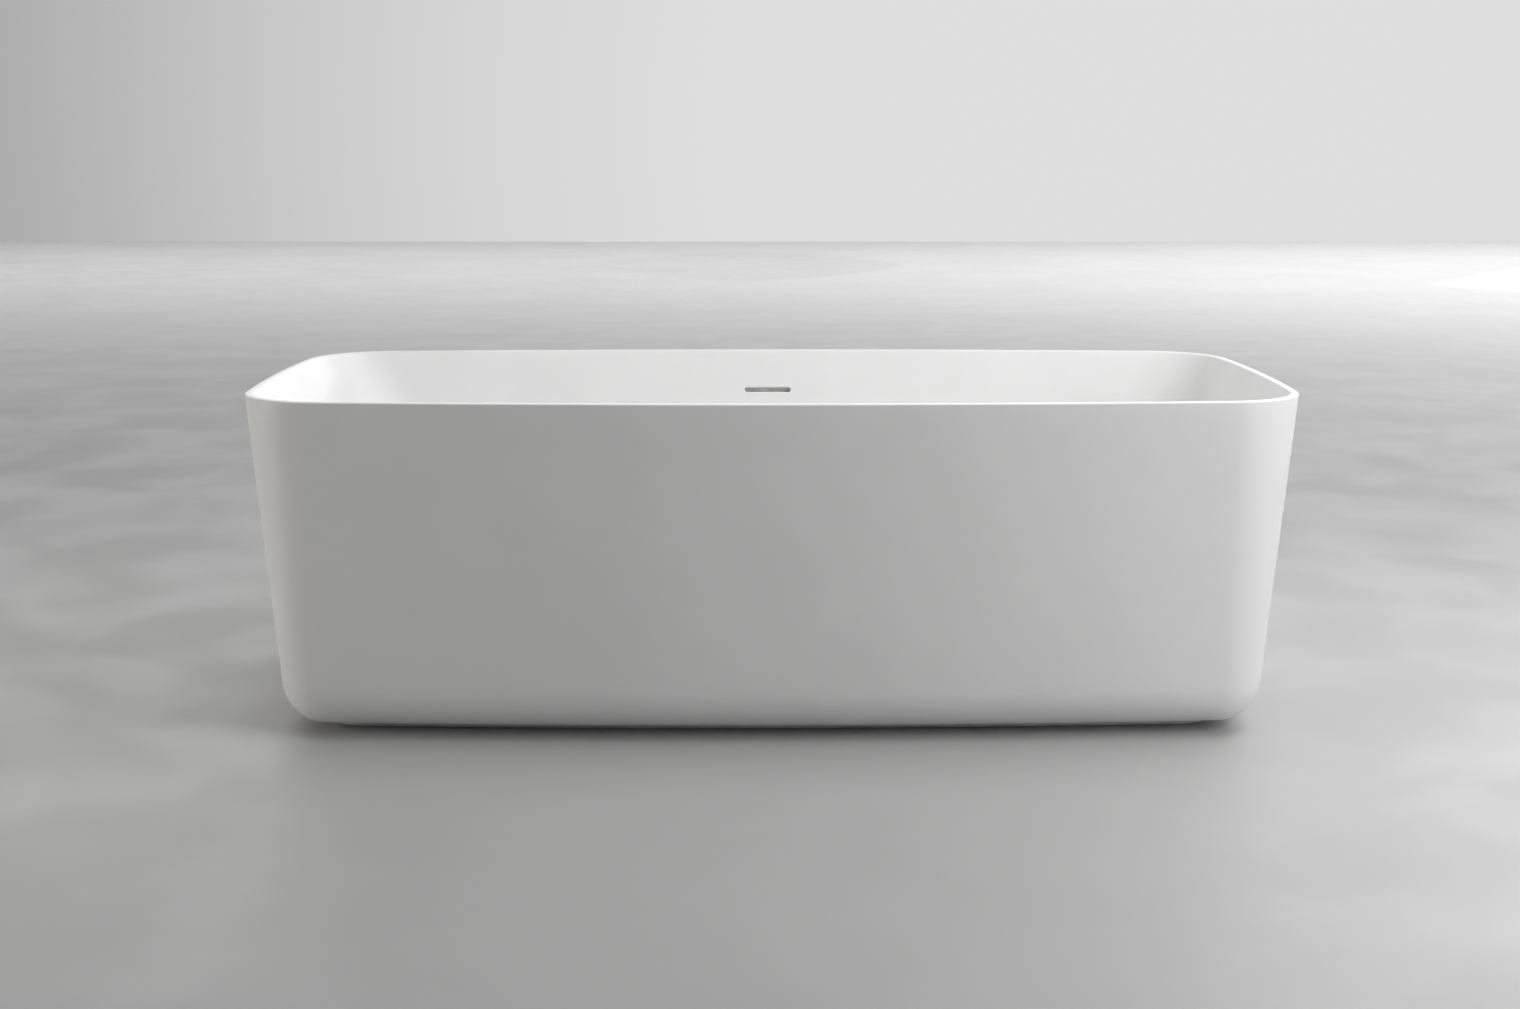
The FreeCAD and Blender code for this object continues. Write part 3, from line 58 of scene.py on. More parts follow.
class Outline:
    """A rectangle with bowed sides and ends and round corners, as eight tangent arcs."""

    def __init__(self, half_length, half_width, side_radius, end_radius, corner_radius):
        self.sizes = (half_length, half_width, side_radius, end_radius, corner_radius)

    def inset(self, distance, corner=None):
        """The outline moved inwards all round, with its own corner radius if one is given."""
        sizes = [size - distance for size in self.sizes]
        if corner is not None:
            sizes[4] = corner
        return Outline(*sizes)

    def towards(self, other, share):
        """The outline that lies that share of the way to the other one."""
        return Outline(*[a + (b - a) * share for a, b in zip(self.sizes, other.sizes)])

    def points(self):
        """Points with their outward directions, anticlockwise from the right end."""
        half_length, half_width, side_radius, end_radius, corner_radius = self.sizes
        side_y, end_x = half_width - side_radius, half_length - end_radius
        reach_side, reach_end = side_radius - corner_radius, end_radius - corner_radius
        apart = math.hypot(end_x, side_y)
        along = (reach_side ** 2 - reach_end ** 2 + apart ** 2) / (2 * apart)
        across = math.sqrt(reach_side ** 2 - along ** 2)
        ux, uy = end_x / apart, -side_y / apart
        corner = (ux * along - uy * across, side_y + uy * along + ux * across)
        if corner[0] < 0 or corner[1] < 0:
            corner = (ux * along + uy * across, side_y + uy * along - ux * across)
        side_turn = math.atan2(corner[1] - side_y, corner[0])
        end_turn = math.atan2(corner[1], corner[0] - end_x)
        half = math.pi
        cx, cy = corner
        arcs = [
            (end_x, 0, end_radius, -end_turn, end_turn, END_STEPS),
            (cx, cy, corner_radius, end_turn, side_turn, CORNER_STEPS),
            (0, side_y, side_radius, side_turn, half - side_turn, SIDE_STEPS),
            (-cx, cy, corner_radius, half - side_turn, half - end_turn, CORNER_STEPS),
            (-end_x, 0, end_radius, half - end_turn, half + end_turn, END_STEPS),
            (-cx, -cy, corner_radius, half + end_turn, half + side_turn, CORNER_STEPS),
            (0, -side_y, side_radius, half + side_turn, TURN - side_turn, SIDE_STEPS),
            (cx, -cy, corner_radius, -side_turn, -end_turn, CORNER_STEPS),
        ]
        found = []
        for x, y, radius, start, end, steps in arcs:
            for k in range(steps):
                turn = start + (end - start) * k / steps
                out = Vector((math.cos(turn), math.sin(turn), 0))
                found.append((Vector((x, y, 0)) + out * radius, out))
        return found


def bowed(length, width, side_bow, end_bow, corner):
    """An outline from its length, width, the bows of its sides and ends, and its corner."""
    half_length, half_width = length / 2, width / 2
    side_radius = (half_length ** 2 + side_bow ** 2) / (2 * side_bow)
    end_radius = (half_width ** 2 + end_bow ** 2) / (2 * end_bow)
    return Outline(half_length, half_width, side_radius, end_radius, corner)


class Wall:
    """A sloping wall between a low outline and a high one, point by point."""

    def __init__(self, low, low_z, high, high_z):
        self.low_z, self.rise = low_z, high_z - low_z
        self.low, self.high = low.points(), high.points()
        self.count = len(self.low)
        self.slope = [
            (self.high[i][0] - self.low[i][0]).dot(self.low[i][1]) / self.rise
            for i in range(self.count)
        ]

    def at(self, i, z, out=0.0):
        """The wall's point number i at a height, moved outwards by a distance."""
        share = (z - self.low_z) / self.rise
        (a, a_out), (b, b_out) = self.low[i], self.high[i]
        point = a.lerp(b, share) + a_out.lerp(b_out, min(max(share, 0), 1)).normalized() * out
        return Vector((point.x, point.y, z))

    def ring(self, z, out=0.0):
        return [self.at(i, z, out) for i in range(self.count)]

    def foot_curve(self, radius, steps, cut_z=None):
        """Rings of the round between the wall and the flat at its foot, from the flat up."""
        rings = []
        for k in range(steps + 1):
            ring = []
            for i in range(self.count):
                slope = self.slope[i]
                lean = math.sqrt(1 + slope * slope)
                centre = radius * (slope - lean)
                last = math.pi / 2 - math.atan(slope)
                first = 0.0
                if cut_z is not None:
                    first = math.acos(1 - (cut_z - self.low_z) / radius)
                turn = first + (last - first) * k / steps
                z = self.low_z + radius * (1 - math.cos(turn))
                out = centre + radius * math.sin(turn) - slope * (z - self.low_z)
                ring.append(self.at(i, z, out))
            rings.append(ring)
        return rings

    def top_round(self, radius, top_z, steps):
        """Rings of the round between a flat top and this wall going down inside it."""
        rings = []
        high_z = self.low_z + self.rise
        for k in range(steps + 1):
            ring = []
            for i in range(self.count):
                slope = self.slope[i]
                lean = math.sqrt(1 + slope * slope)
                turn = (math.pi / 2 - math.atan(slope)) * k / steps
                z = top_z - radius * (1 - math.cos(turn))
                wall_in = slope * (high_z - (top_z - radius))
                inset = wall_in - radius * lean + radius * math.sin(turn)
                ring.append(self.at(i, z, slope * (high_z - z) - inset))
            rings.append(ring)
        return rings


def circle_ring(pattern, radius, z):
    """A circle round the waste with one point for each of the pattern ring's points."""
    ring = []
    for p in pattern:
        turn = math.atan2(p.y, p.x)
        ring.append(Vector((radius * math.cos(turn), radius * math.sin(turn), z)))
    return ring


# ---------------------------------------------------------------- mesh helpers

def make_piece(name, points, faces, material, body, nodes, sharp=35.0):
    """A smooth-shaded mesh piece that rides on a body and stands for CAD nodes."""
    mesh = bpy.data.meshes.new(name)
    mesh.from_pydata([Vector(p) * MM for p in points], [], faces)
    mesh.validate()
    mesh.shade_smooth()
    mesh.set_sharp_from_angle(angle=math.radians(sharp))
    mesh.materials.append(material)
    piece = bpy.data.objects.new(name, mesh)
    bpy.context.scene.collection.objects.link(piece)
    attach(piece, body)
    if nodes:
        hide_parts(*nodes)
    return piece


def joined_rings(rings, closed=False):
    """Points and quads between rings of equal length; closed joins the last to the first."""
    count = len(rings[0])
    points = [p for ring in rings for p in ring]
    faces = []
    for k in range(len(rings) if closed else len(rings) - 1):
        a, b = k * count, ((k + 1) % len(rings)) * count
        for i in range(count):
            j = (i + 1) % count
            faces.append((a + i, a + j, b + j, b + i))
    return points, faces


# ---------------------------------------------------------------- the tub's own sizes, mm

RIM_Z, GAP = 550, 19
SHELL_TOP = 514
LOWER_CURVE, CASING_WALL, FLANGE = 81, 8, 10
FLANGE_WIDTH, FLANGE_CORNER = 75, 60
# How far the lower curve draws the lip in, and how far it would go on below the lip.
LIP_TUCK, CURVE_BELOW_LIP = 36.29, 13.46
CURVE_FOOT = GAP - CURVE_BELOW_LIP
RIM_WIDTH, RIM_ROUND, BASIN_WALL = 12, 3, 8
FLOOR_TOP, FLOOR_UNDERSIDE, FLOOR_ROUND = 132, 118, 100
DISH_RADIUS, DISH_DEPTH = 240, 5
RECESS_RADIUS, RECESS_DEPTH, WASTE_HOLE = 36, 4, 25
PLINTH_INSET, PLINTH_WIDTH, PLINTH_CLEAR = 34, 30, 2
PLINTH_CORNER, PLINTH_BACK_CORNER = 56, 26
SLOT_LENGTH, SLOT_HEIGHT, SLOT_DROP = 87, 9, 74

TOP = bowed(1700, 760, 38, 22, 138)
BASE = bowed(1614, 686, 25.5, 25, 74)
LIP = BASE.inset(LIP_TUCK)
FLOOR_LINE = bowed(1326, 546, 6, 26, 180)


def casing_outline(z):
    return BASE.towards(TOP, (z - GAP) / (RIM_Z - GAP))


def casing_mesh():
    """The casing: outer wall, tucked-under lower curve, foot flange and inside wall."""
    outer = Wall(casing_outline(CURVE_FOOT), CURVE_FOOT, casing_outline(SHELL_TOP), SHELL_TOP)
    inner_foot = CURVE_FOOT + CASING_WALL
    inner = Wall(
        casing_outline(inner_foot).inset(CASING_WALL), inner_foot,
        casing_outline(SHELL_TOP).inset(CASING_WALL), SHELL_TOP,
    )
    rings = outer.foot_curve(LOWER_CURVE, 20, GAP)
    curve_top = [p.z for p in rings[-1]]
    levels = 22
    for k in range(1, levels + 1):
        share = k / levels
        rings.append([
            outer.at(i, z + (SHELL_TOP - z) * share) for i, z in enumerate(curve_top)
        ])
    inside = inner.foot_curve(LOWER_CURVE - CASING_WALL, 12, GAP + FLANGE)
    for k in range(6):
        share = 1 - k / 6
        rings.append([
            inner.at(i, p.z + (SHELL_TOP - p.z) * share) for i, p in enumerate(inside[-1])
        ])
    rings += inside[::-1]
    opening = LIP.inset(FLANGE_WIDTH, FLANGE_CORNER)
    for z in (GAP + FLANGE, GAP):
        rings.append([Vector((p.x, p.y, z)) for p, _ in opening.points()])
    return joined_rings(rings, closed=True)


def basin_mesh():
    """The basin: rim, well, floor with its fall to the waste, and the hidden outside."""
    rim_face = Wall(casing_outline(SHELL_TOP), SHELL_TOP, TOP, RIM_Z)
    well = Wall(FLOOR_LINE, FLOOR_TOP, TOP.inset(RIM_WIDTH), RIM_Z + 1)
    skin = Wall(
        FLOOR_LINE.inset(-BASIN_WALL), FLOOR_UNDERSIDE,
        TOP.inset(RIM_WIDTH - BASIN_WALL), RIM_Z - 1,
    )
    rings = []
    hidden = skin.foot_curve(FLOOR_ROUND + BASIN_WALL, 12)
    pattern = hidden[0]
    for radius in (WASTE_HOLE, 60):
        rings.append(circle_ring(pattern, radius, FLOOR_UNDERSIDE))
    rings += hidden
    for k in range(1, 6):
        share = k / 5
        rings.append([
            skin.at(i, p.z + (SHELL_TOP - p.z) * share) for i, p in enumerate(hidden[-1])
        ])
    rings.append(rim_face.ring(SHELL_TOP))
    rings.append(rim_face.ring(SHELL_TOP + 4))
    steps = 7
    for k in range(steps + 1):
        turn = math.pi / 2 * k / steps
        z = RIM_Z - RIM_ROUND * (1 - math.sin(turn))
        rings.append(rim_face.ring(z, -RIM_ROUND * (1 - math.cos(turn))))
    flat_width = RIM_WIDTH - RIM_ROUND * 2
    for share in (0.25, 0.5, 0.75):
        rings.append([
            Vector((p.x, p.y, RIM_Z))
            for p, _ in TOP.inset(RIM_ROUND + flat_width * share).points()
        ])
    edge = well.top_round(RIM_ROUND, RIM_Z, 8)
    rings += edge
    floor_curve = well.foot_curve(FLOOR_ROUND, 26)
    levels = 26
    for k in range(1, levels):
        share = k / levels
        rings.append([
            well.at(i, top.z + (foot.z - top.z) * share)
            for i, (top, foot) in enumerate(zip(edge[-1], floor_curve[-1]))
        ])
    rings += floor_curve[::-1]
    flat = floor_curve[0]
    dish = circle_ring(flat, DISH_RADIUS, FLOOR_TOP)
    for share in (0.5, 0.96):
        rings.append([a.lerp(b, share) for a, b in zip(flat, dish)])
    dish_foot = FLOOR_TOP - DISH_DEPTH
    dish_span = DISH_RADIUS - RECESS_RADIUS
    for radius in (236, 180, 120, 70, 40, 37):
        fall = DISH_DEPTH * (radius - RECESS_RADIUS) / dish_span
        rings.append(circle_ring(flat, radius, dish_foot + fall))
    for radius, drop in (
        (RECESS_RADIUS + 0.2, 0.3), (RECESS_RADIUS, 1),
        (RECESS_RADIUS, RECESS_DEPTH), (WASTE_HOLE, RECESS_DEPTH),
    ):
        rings.append(circle_ring(flat, radius, dish_foot - drop))
    return joined_rings(rings, closed=True)


def plinth_mesh():
    """The set-back plinth strip, with softened edges."""
    face = LIP.inset(PLINTH_INSET, PLINTH_CORNER)
    back = LIP.inset(PLINTH_INSET + PLINTH_WIDTH, PLINTH_BACK_CORNER)
    low, high, soft = PLINTH_CLEAR, GAP, 1.0
    rings = []
    for outline, z, move in (
        (face, low, 1), (face, low + soft * 0.3, 0.3), (face, low + soft, 0),
        (face, high - soft, 0), (face, high - 0.3 * soft, 0.3), (face, high, 1),
        (back, high, -1), (back, high - soft, 0), (back, low + soft, 0), (back, low, -1),
    ):
        rings.append([
            Vector((p.x - out.x * move * soft, p.y - out.y * move * soft, z))
            for p, out in outline.points()
        ])
    return joined_rings(rings, closed=True)


# ---------------------------------------------------------------- shared finishes

def new_group(name, inputs, outputs):
    """An empty shader node group with named sockets, and its input and output nodes."""
    group = bpy.data.node_groups.new(name, "ShaderNodeTree")
    for label, kind, value in inputs:
        socket = group.interface.new_socket(name=label, in_out="INPUT", socket_type=kind)
        socket.default_value = value
    for label, kind in outputs:
        group.interface.new_socket(name=label, in_out="OUTPUT", socket_type=kind)
    return group, group.nodes.new("NodeGroupInput"), group.nodes.new("NodeGroupOutput")


def map_range(tree, source, low, high, to_low=0.0, to_high=1.0):
    """A smooth step of a value between two limits."""
    step = tree.nodes.new("ShaderNodeMapRange")
    step.interpolation_type = "SMOOTHSTEP"
    for label, value in (("From Min", low), ("From Max", high), ("To Min", to_low),
                         ("To Max", to_high)):
        step.inputs[label].default_value = value
    tree.links.new(source, step.inputs["Value"])
    return step


def make_cloud_group():
    """Soft patches between two tones, as moulded or cast stock always has."""
    group, given, out = new_group("cloudy_tone", [
        ("Light", "NodeSocketColor", (0.8, 0.8, 0.8, 1)),
        ("Dark", "NodeSocketColor", (0.7, 0.7, 0.7, 1)),
        ("Scale", "NodeSocketFloat", 10.0),
    ], [("Color", "NodeSocketColor"), ("Mask", "NodeSocketFloat")])
    place = group.nodes.new("ShaderNodeTexCoord")
    noise = group.nodes.new("ShaderNodeTexNoise")
    noise.inputs["Detail"].default_value = 5.0
    noise.inputs["Roughness"].default_value = 0.6
    group.links.new(place.outputs["Object"], noise.inputs["Vector"])
    group.links.new(given.outputs["Scale"], noise.inputs["Scale"])
    step = map_range(group, noise.outputs["Fac"], 0.3, 0.7)
    mix = group.nodes.new("ShaderNodeMix")
    mix.data_type = "RGBA"
    group.links.new(step.outputs["Result"], mix.inputs["Factor"])
    group.links.new(given.outputs["Light"], mix.inputs[6])
    group.links.new(given.outputs["Dark"], mix.inputs[7])
    group.links.new(mix.outputs[2], out.inputs["Color"])
    group.links.new(step.outputs["Result"], out.inputs["Mask"])
    return group


def make_sheen_group():
    """Roughness that drifts between two values over the surface."""
    group, given, out = new_group("drifting_sheen", [
        ("Scale", "NodeSocketFloat", 20.0),
        ("Smooth", "NodeSocketFloat", 0.3),
        ("Rough", "NodeSocketFloat", 0.5),
    ], [("Roughness", "NodeSocketFloat")])
    place = group.nodes.new("ShaderNodeTexCoord")
    noise = group.nodes.new("ShaderNodeTexNoise")
    noise.inputs["Detail"].default_value = 6.0
    noise.inputs["Distortion"].default_value = 0.4
    group.links.new(place.outputs["Object"], noise.inputs["Vector"])
    group.links.new(given.outputs["Scale"], noise.inputs["Scale"])
    step = map_range(group, noise.outputs["Fac"], 0.32, 0.68)
    mix = group.nodes.new("ShaderNodeMix")
    group.links.new(step.outputs["Result"], mix.inputs["Factor"])
    group.links.new(given.outputs["Smooth"], mix.inputs[2])
    group.links.new(given.outputs["Rough"], mix.inputs[3])
    group.links.new(mix.outputs[0], out.inputs["Roughness"])
    return group


def make_pebble_group():
    """Fine relief over broad relief: moulded texture, orange peel or sanding."""
    group, given, out = new_group("fine_relief", [
        ("Fine Scale", "NodeSocketFloat", 900.0),
        ("Broad Scale", "NodeSocketFloat", 30.0),
        ("Broad Share", "NodeSocketFloat", 0.3),
    ], [("Height", "NodeSocketFloat")])
    place = group.nodes.new("ShaderNodeTexCoord")
    heights = []
    for label, detail in (("Fine Scale", 2.0), ("Broad Scale", 3.0)):
        noise = group.nodes.new("ShaderNodeTexNoise")
        noise.inputs["Detail"].default_value = detail
        group.links.new(place.outputs["Object"], noise.inputs["Vector"])
        group.links.new(given.outputs[label], noise.inputs["Scale"])
        heights.append(noise.outputs["Fac"])
    mix = group.nodes.new("ShaderNodeMix")
    group.links.new(given.outputs["Broad Share"], mix.inputs["Factor"])
    group.links.new(heights[0], mix.inputs[2])
    group.links.new(heights[1], mix.inputs[3])
    group.links.new(mix.outputs[0], out.inputs["Height"])
    return group


def make_streak_group():
    """Long thin streaks along one direction: drawn metal, brushing or wood fibres."""
    group, given, out = new_group("streaks", [
        ("Stretch", "NodeSocketVector", (1.0, 1.0, 1.0)),
        ("Scale", "NodeSocketFloat", 60.0),
    ], [("Mask", "NodeSocketFloat"), ("Height", "NodeSocketFloat")])
    place = group.nodes.new("ShaderNodeTexCoord")
    stretch = group.nodes.new("ShaderNodeVectorMath")
    stretch.operation = "MULTIPLY"
    noise = group.nodes.new("ShaderNodeTexNoise")
    noise.inputs["Detail"].default_value = 5.0
    noise.inputs["Roughness"].default_value = 0.65
    group.links.new(place.outputs["Object"], stretch.inputs[0])
    group.links.new(given.outputs["Stretch"], stretch.inputs[1])
    group.links.new(stretch.outputs["Vector"], noise.inputs["Vector"])
    group.links.new(given.outputs["Scale"], noise.inputs["Scale"])
    step = map_range(group, noise.outputs["Fac"], 0.35, 0.65)
    group.links.new(step.outputs["Result"], out.inputs["Mask"])
    group.links.new(noise.outputs["Fac"], out.inputs["Height"])
    return group


def make_dust_group():
    """Where dust settles: on what faces up, in uneven drifts."""
    group, given, out = new_group("settled_dust", [
        ("Amount", "NodeSocketFloat", 0.5),
        ("Scale", "NodeSocketFloat", 25.0),
        ("Clean", "NodeSocketColor", (0.5, 0.5, 0.5, 1)),
        ("Dust", "NodeSocketColor", (0.55, 0.52, 0.47, 1)),
    ], [("Color", "NodeSocketColor"), ("Mask", "NodeSocketFloat")])
    facing = group.nodes.new("ShaderNodeNewGeometry")
    parts = group.nodes.new("ShaderNodeSeparateXYZ")
    place = group.nodes.new("ShaderNodeTexCoord")
    noise = group.nodes.new("ShaderNodeTexNoise")
    noise.inputs["Detail"].default_value = 6.0
    group.links.new(facing.outputs["Normal"], parts.inputs[0])
    group.links.new(place.outputs["Object"], noise.inputs["Vector"])
    group.links.new(given.outputs["Scale"], noise.inputs["Scale"])
    up = map_range(group, parts.outputs["Z"], 0.2, 0.95)
    drift = map_range(group, noise.outputs["Fac"], 0.3, 0.7, 0.25, 1.0)
    spread = group.nodes.new("ShaderNodeMath")
    spread.operation = "MULTIPLY"
    group.links.new(up.outputs["Result"], spread.inputs[0])
    group.links.new(drift.outputs["Result"], spread.inputs[1])
    amount = group.nodes.new("ShaderNodeMath")
    amount.operation = "MULTIPLY"
    group.links.new(spread.outputs["Value"], amount.inputs[0])
    group.links.new(given.outputs["Amount"], amount.inputs[1])
    mix = group.nodes.new("ShaderNodeMix")
    mix.data_type = "RGBA"
    group.links.new(amount.outputs["Value"], mix.inputs["Factor"])
    group.links.new(given.outputs["Clean"], mix.inputs[6])
    group.links.new(given.outputs["Dust"], mix.inputs[7])
    group.links.new(mix.outputs[2], out.inputs["Color"])
    group.links.new(amount.outputs["Value"], out.inputs["Mask"])
    return group


CLOUD, SHEEN, PEBBLE = make_cloud_group(), make_sheen_group(), make_pebble_group()
STREAK, DUST = make_streak_group(), make_dust_group()


class Finish:
    """One material: its Principled shader, and a short way to place shared groups in it."""

    def __init__(self, name, metal=0.0, specular=0.5, coat=0.0, coat_roughness=0.1):
        self.material = bpy.data.materials.new(name)
        self.material.use_nodes = True
        self.tree = self.material.node_tree
        self.shader = self.tree.nodes["Principled BSDF"]
        for label, value in (("Metallic", metal), ("Specular IOR Level", specular),
                             ("Coat Weight", coat), ("Coat Roughness", coat_roughness)):
            self.shader.inputs[label].default_value = value

    def put(self, group, **values):
        """Place a shared group and give its inputs their own values."""
        node = self.tree.nodes.new("ShaderNodeGroup")
        node.node_tree = group
        for label, value in values.items():
            socket = node.inputs[label.replace("_", " ")]
            if hasattr(value, "is_output"):
                self.tree.links.new(value, socket)
            elif socket.type == "RGBA":
                socket.default_value = (*value, 1)
            else:
                socket.default_value = value
        return node.outputs

    def paint(self, source):
        self.tree.links.new(source, self.shader.inputs["Base Color"])

    def gloss(self, source):
        self.tree.links.new(source, self.shader.inputs["Roughness"])

    def relief(self, height, depth, strength=1.0):
        bump = self.tree.nodes.new("ShaderNodeBump")
        bump.inputs["Strength"].default_value = strength
        bump.inputs["Distance"].default_value = depth
        self.tree.links.new(height, bump.inputs["Height"])
        self.tree.links.new(bump.outputs["Normal"], self.shader.inputs["Normal"])


def tinted(colour, share):
    return tuple(part * share for part in colour)


def cast_resin():
    """Mineral-filled resin, sanded to a soft satin."""
    finish = Finish("solid_surface", specular=0.42)
    white = (0.87, 0.87, 0.868)
    tone = finish.put(CLOUD, Light=white, Dark=tinted(white, 0.972), Scale=5.5)
    finish.paint(tone["Color"])
    finish.gloss(finish.put(SHEEN, Scale=26.0, Smooth=0.4, Rough=0.52)["Roughness"])
    grain = finish.put(PEBBLE, Fine_Scale=1500.0, Broad_Scale=210.0, Broad_Share=0.4)
    finish.relief(grain["Height"], 0.00004, 0.6)
    return finish.material


def dusty(name, colour, smooth, rough, relief_depth, fine=900.0, dust=0.25, **shader):
    """A moulded or coated finish with uneven tone, fine relief and a little dust."""
    finish = Finish(name, **shader)
    tone = finish.put(CLOUD, Light=tinted(colour, 1.12), Dark=tinted(colour, 0.82), Scale=38.0)
    film = finish.put(DUST, Amount=dust, Scale=60.0, Clean=tone["Color"])
    finish.paint(film["Color"])
    finish.gloss(finish.put(SHEEN, Scale=90.0, Smooth=smooth, Rough=rough)["Roughness"])
    grain = finish.put(PEBBLE, Fine_Scale=fine, Broad_Scale=fine / 9, Broad_Share=0.35)
    finish.relief(grain["Height"], relief_depth)
    return finish.material


def zinc_plate():
    """Bright zinc plating: faint blue-grey patches and fine scratches."""
    finish = Finish("zinc_plate", metal=1.0)
    tone = finish.put(CLOUD, Light=(0.72, 0.73, 0.75), Dark=(0.56, 0.58, 0.6), Scale=90.0)
    finish.paint(tone["Color"])
    finish.gloss(finish.put(SHEEN, Scale=160.0, Smooth=0.24, Rough=0.42)["Roughness"])
    lines = finish.put(STREAK, Stretch=(1.0, 1.0, 9.0), Scale=220.0)
    finish.relief(lines["Height"], 0.00003)
    return finish.material


def polished_chrome():
    """Polished plating with the faint haze that wiping leaves."""
    finish = Finish("chrome_plate", metal=1.0)
    tone = finish.put(CLOUD, Light=(0.87, 0.875, 0.885), Dark=(0.8, 0.81, 0.825), Scale=45.0)
    finish.paint(tone["Color"])
    finish.gloss(finish.put(SHEEN, Scale=70.0, Smooth=0.05, Rough=0.16)["Roughness"])
    haze = finish.put(STREAK, Stretch=(1.0, 3.0, 1.0), Scale=260.0)
    finish.relief(haze["Height"], 0.000006)
    return finish.material


def machined_brass():
    finish = Finish("machined_brass", metal=1.0)
    tone = finish.put(CLOUD, Light=(0.83, 0.65, 0.34), Dark=(0.66, 0.48, 0.22), Scale=70.0)
    finish.paint(tone["Color"])
    finish.gloss(finish.put(SHEEN, Scale=120.0, Smooth=0.2, Rough=0.38)["Roughness"])
    rings = finish.put(STREAK, Stretch=(1.0, 1.0, 14.0), Scale=240.0)
    finish.relief(rings["Height"], 0.00003)
    return finish.material


def sawn_hardwood():
    """Beech cut along X: long fibres and darker pores."""
    finish = Finish("sawn_hardwood", specular=0.3)
    fibres = finish.put(STREAK, Stretch=(0.06, 1.0, 1.0), Scale=420.0)
    tone = finish.put(CLOUD, Light=(0.66, 0.49, 0.31), Dark=(0.53, 0.37, 0.22), Scale=24.0)
    mix = finish.tree.nodes.new("ShaderNodeMix")
    mix.data_type = "RGBA"
    mix.blend_type = "MULTIPLY"
    darker = map_range(finish.tree, fibres["Mask"], 0.0, 1.0, 0.0, 0.55)
    finish.tree.links.new(darker.outputs["Result"], mix.inputs["Factor"])
    finish.tree.links.new(tone["Color"], mix.inputs[6])
    mix.inputs[7].default_value = (0.62, 0.5, 0.38, 1)
    finish.paint(mix.outputs[2])
    finish.gloss(finish.put(SHEEN, Scale=80.0, Smooth=0.58, Rough=0.8)["Roughness"])
    finish.relief(fibres["Height"], 0.00025)
    return finish.material


FINISHES = {
    "solid_surface": cast_resin(),
    "frame_steel": dusty("powder_coat", (0.045, 0.048, 0.052), 0.34, 0.5, 0.00012, 520.0),
    "zinc_steel": zinc_plate(),
    "foot_plastic": dusty("glass_filled_nylon", (0.035, 0.035, 0.036), 0.42, 0.6, 0.00006),
    "black_plastic": dusty("moulded_cap_plastic", (0.022, 0.022, 0.023), 0.36, 0.55, 0.00005),
    "support_wood": sawn_hardwood(),
    "black_rubber": dusty("soft_rubber", (0.02, 0.02, 0.021), 0.62, 0.85, 0.00009, 1300.0, 0.35),
    "polished_chrome": polished_chrome(),
    "brass": machined_brass(),
    "white_plastic": dusty("waste_plastic", (0.74, 0.74, 0.73), 0.26, 0.42, 0.00003, 700.0, 0.3),
    "hose_plastic": dusty("hose_plastic", (0.6, 0.6, 0.585), 0.38, 0.55, 0.00004, 800.0, 0.3),
}
SLOT_OF = {part["node"]: part["material_slot"] for part in frame["record"]["subparts"]}
BODY_OF = {
    node: body
    for body, nodes in frame["record"]["behaviour"]["bodies"].items() for node in nodes
}


# ---------------------------------------------------------------- the tub itself

def cut_overflow_slot(basin):
    """Cut the overflow slot through the basin's back wall, with a softened mouth."""
    half_length, half_height, z = SLOT_LENGTH / 2, SLOT_HEIGHT / 2, RIM_Z - SLOT_DROP
    top, foot = TOP.sizes[1] - RIM_WIDTH, FLOOR_LINE.sizes[1]
    slope = (top - foot) / (RIM_Z + 1 - FLOOR_TOP)
    y = foot + slope * (z - FLOOR_TOP)
    lean = math.atan(slope)
    softness, steps, round_steps = 1.6, 5, 12
    rings = []
    for depth, grow in (
        [(-9.0, softness * 6.2)]
        + [(softness * (1 - math.cos(math.pi / 2 * k / steps)) - 0.02,
            softness * (1 - math.sin(math.pi / 2 * k / steps))) for k in range(steps + 1)]
        + [(30.0, 0.0)]
    ):
        ring = []
        for end in (1, -1):
            for k in range(round_steps + 1):
                turn = (-math.pi / 2 + math.pi * k / round_steps) if end > 0 else (
                    math.pi / 2 + math.pi * k / round_steps)
                reach = half_height + grow
                x = (half_length - half_height) * end + reach * math.cos(turn)
                across = reach * math.sin(turn)
                ring.append((
                    x * MM,
                    (y + depth * math.cos(lean) + across * math.sin(lean)) * MM,
                    (z - depth * math.sin(lean) + across * math.cos(lean)) * MM,
                ))
        rings.append(ring)
    points, faces = joined_rings(rings)
    count = len(rings[0])
    faces.append(tuple(range(count))[::-1])
    faces.append(tuple(range(len(points) - count, len(points))))
    mesh = bpy.data.meshes.new("slot_cutter")
    mesh.from_pydata(points, [], faces)
    cutter = bpy.data.objects.new("slot_cutter", mesh)
    bpy.context.scene.collection.objects.link(cutter)
    recalculate(mesh)
    boolean = basin.modifiers.new("overflow_slot", "BOOLEAN")
    boolean.operation = "DIFFERENCE"
    boolean.solver = "EXACT"
    boolean.object = cutter
    bpy.context.view_layer.update()
    cut_mesh = bpy.data.meshes.new_from_object(
        basin.evaluated_get(bpy.context.evaluated_depsgraph_get()))
    basin.modifiers.clear()
    basin.data = cut_mesh
    cut_mesh.shade_smooth()
    cut_mesh.set_sharp_from_angle(angle=math.radians(35))
    bpy.data.objects.remove(cutter)


def recalculate(mesh):
    """Turn every face of a mesh outwards."""
    form = bmesh.new()
    form.from_mesh(mesh)
    bmesh.ops.recalc_face_normals(form, faces=form.faces)
    form.to_mesh(mesh)
    form.free()


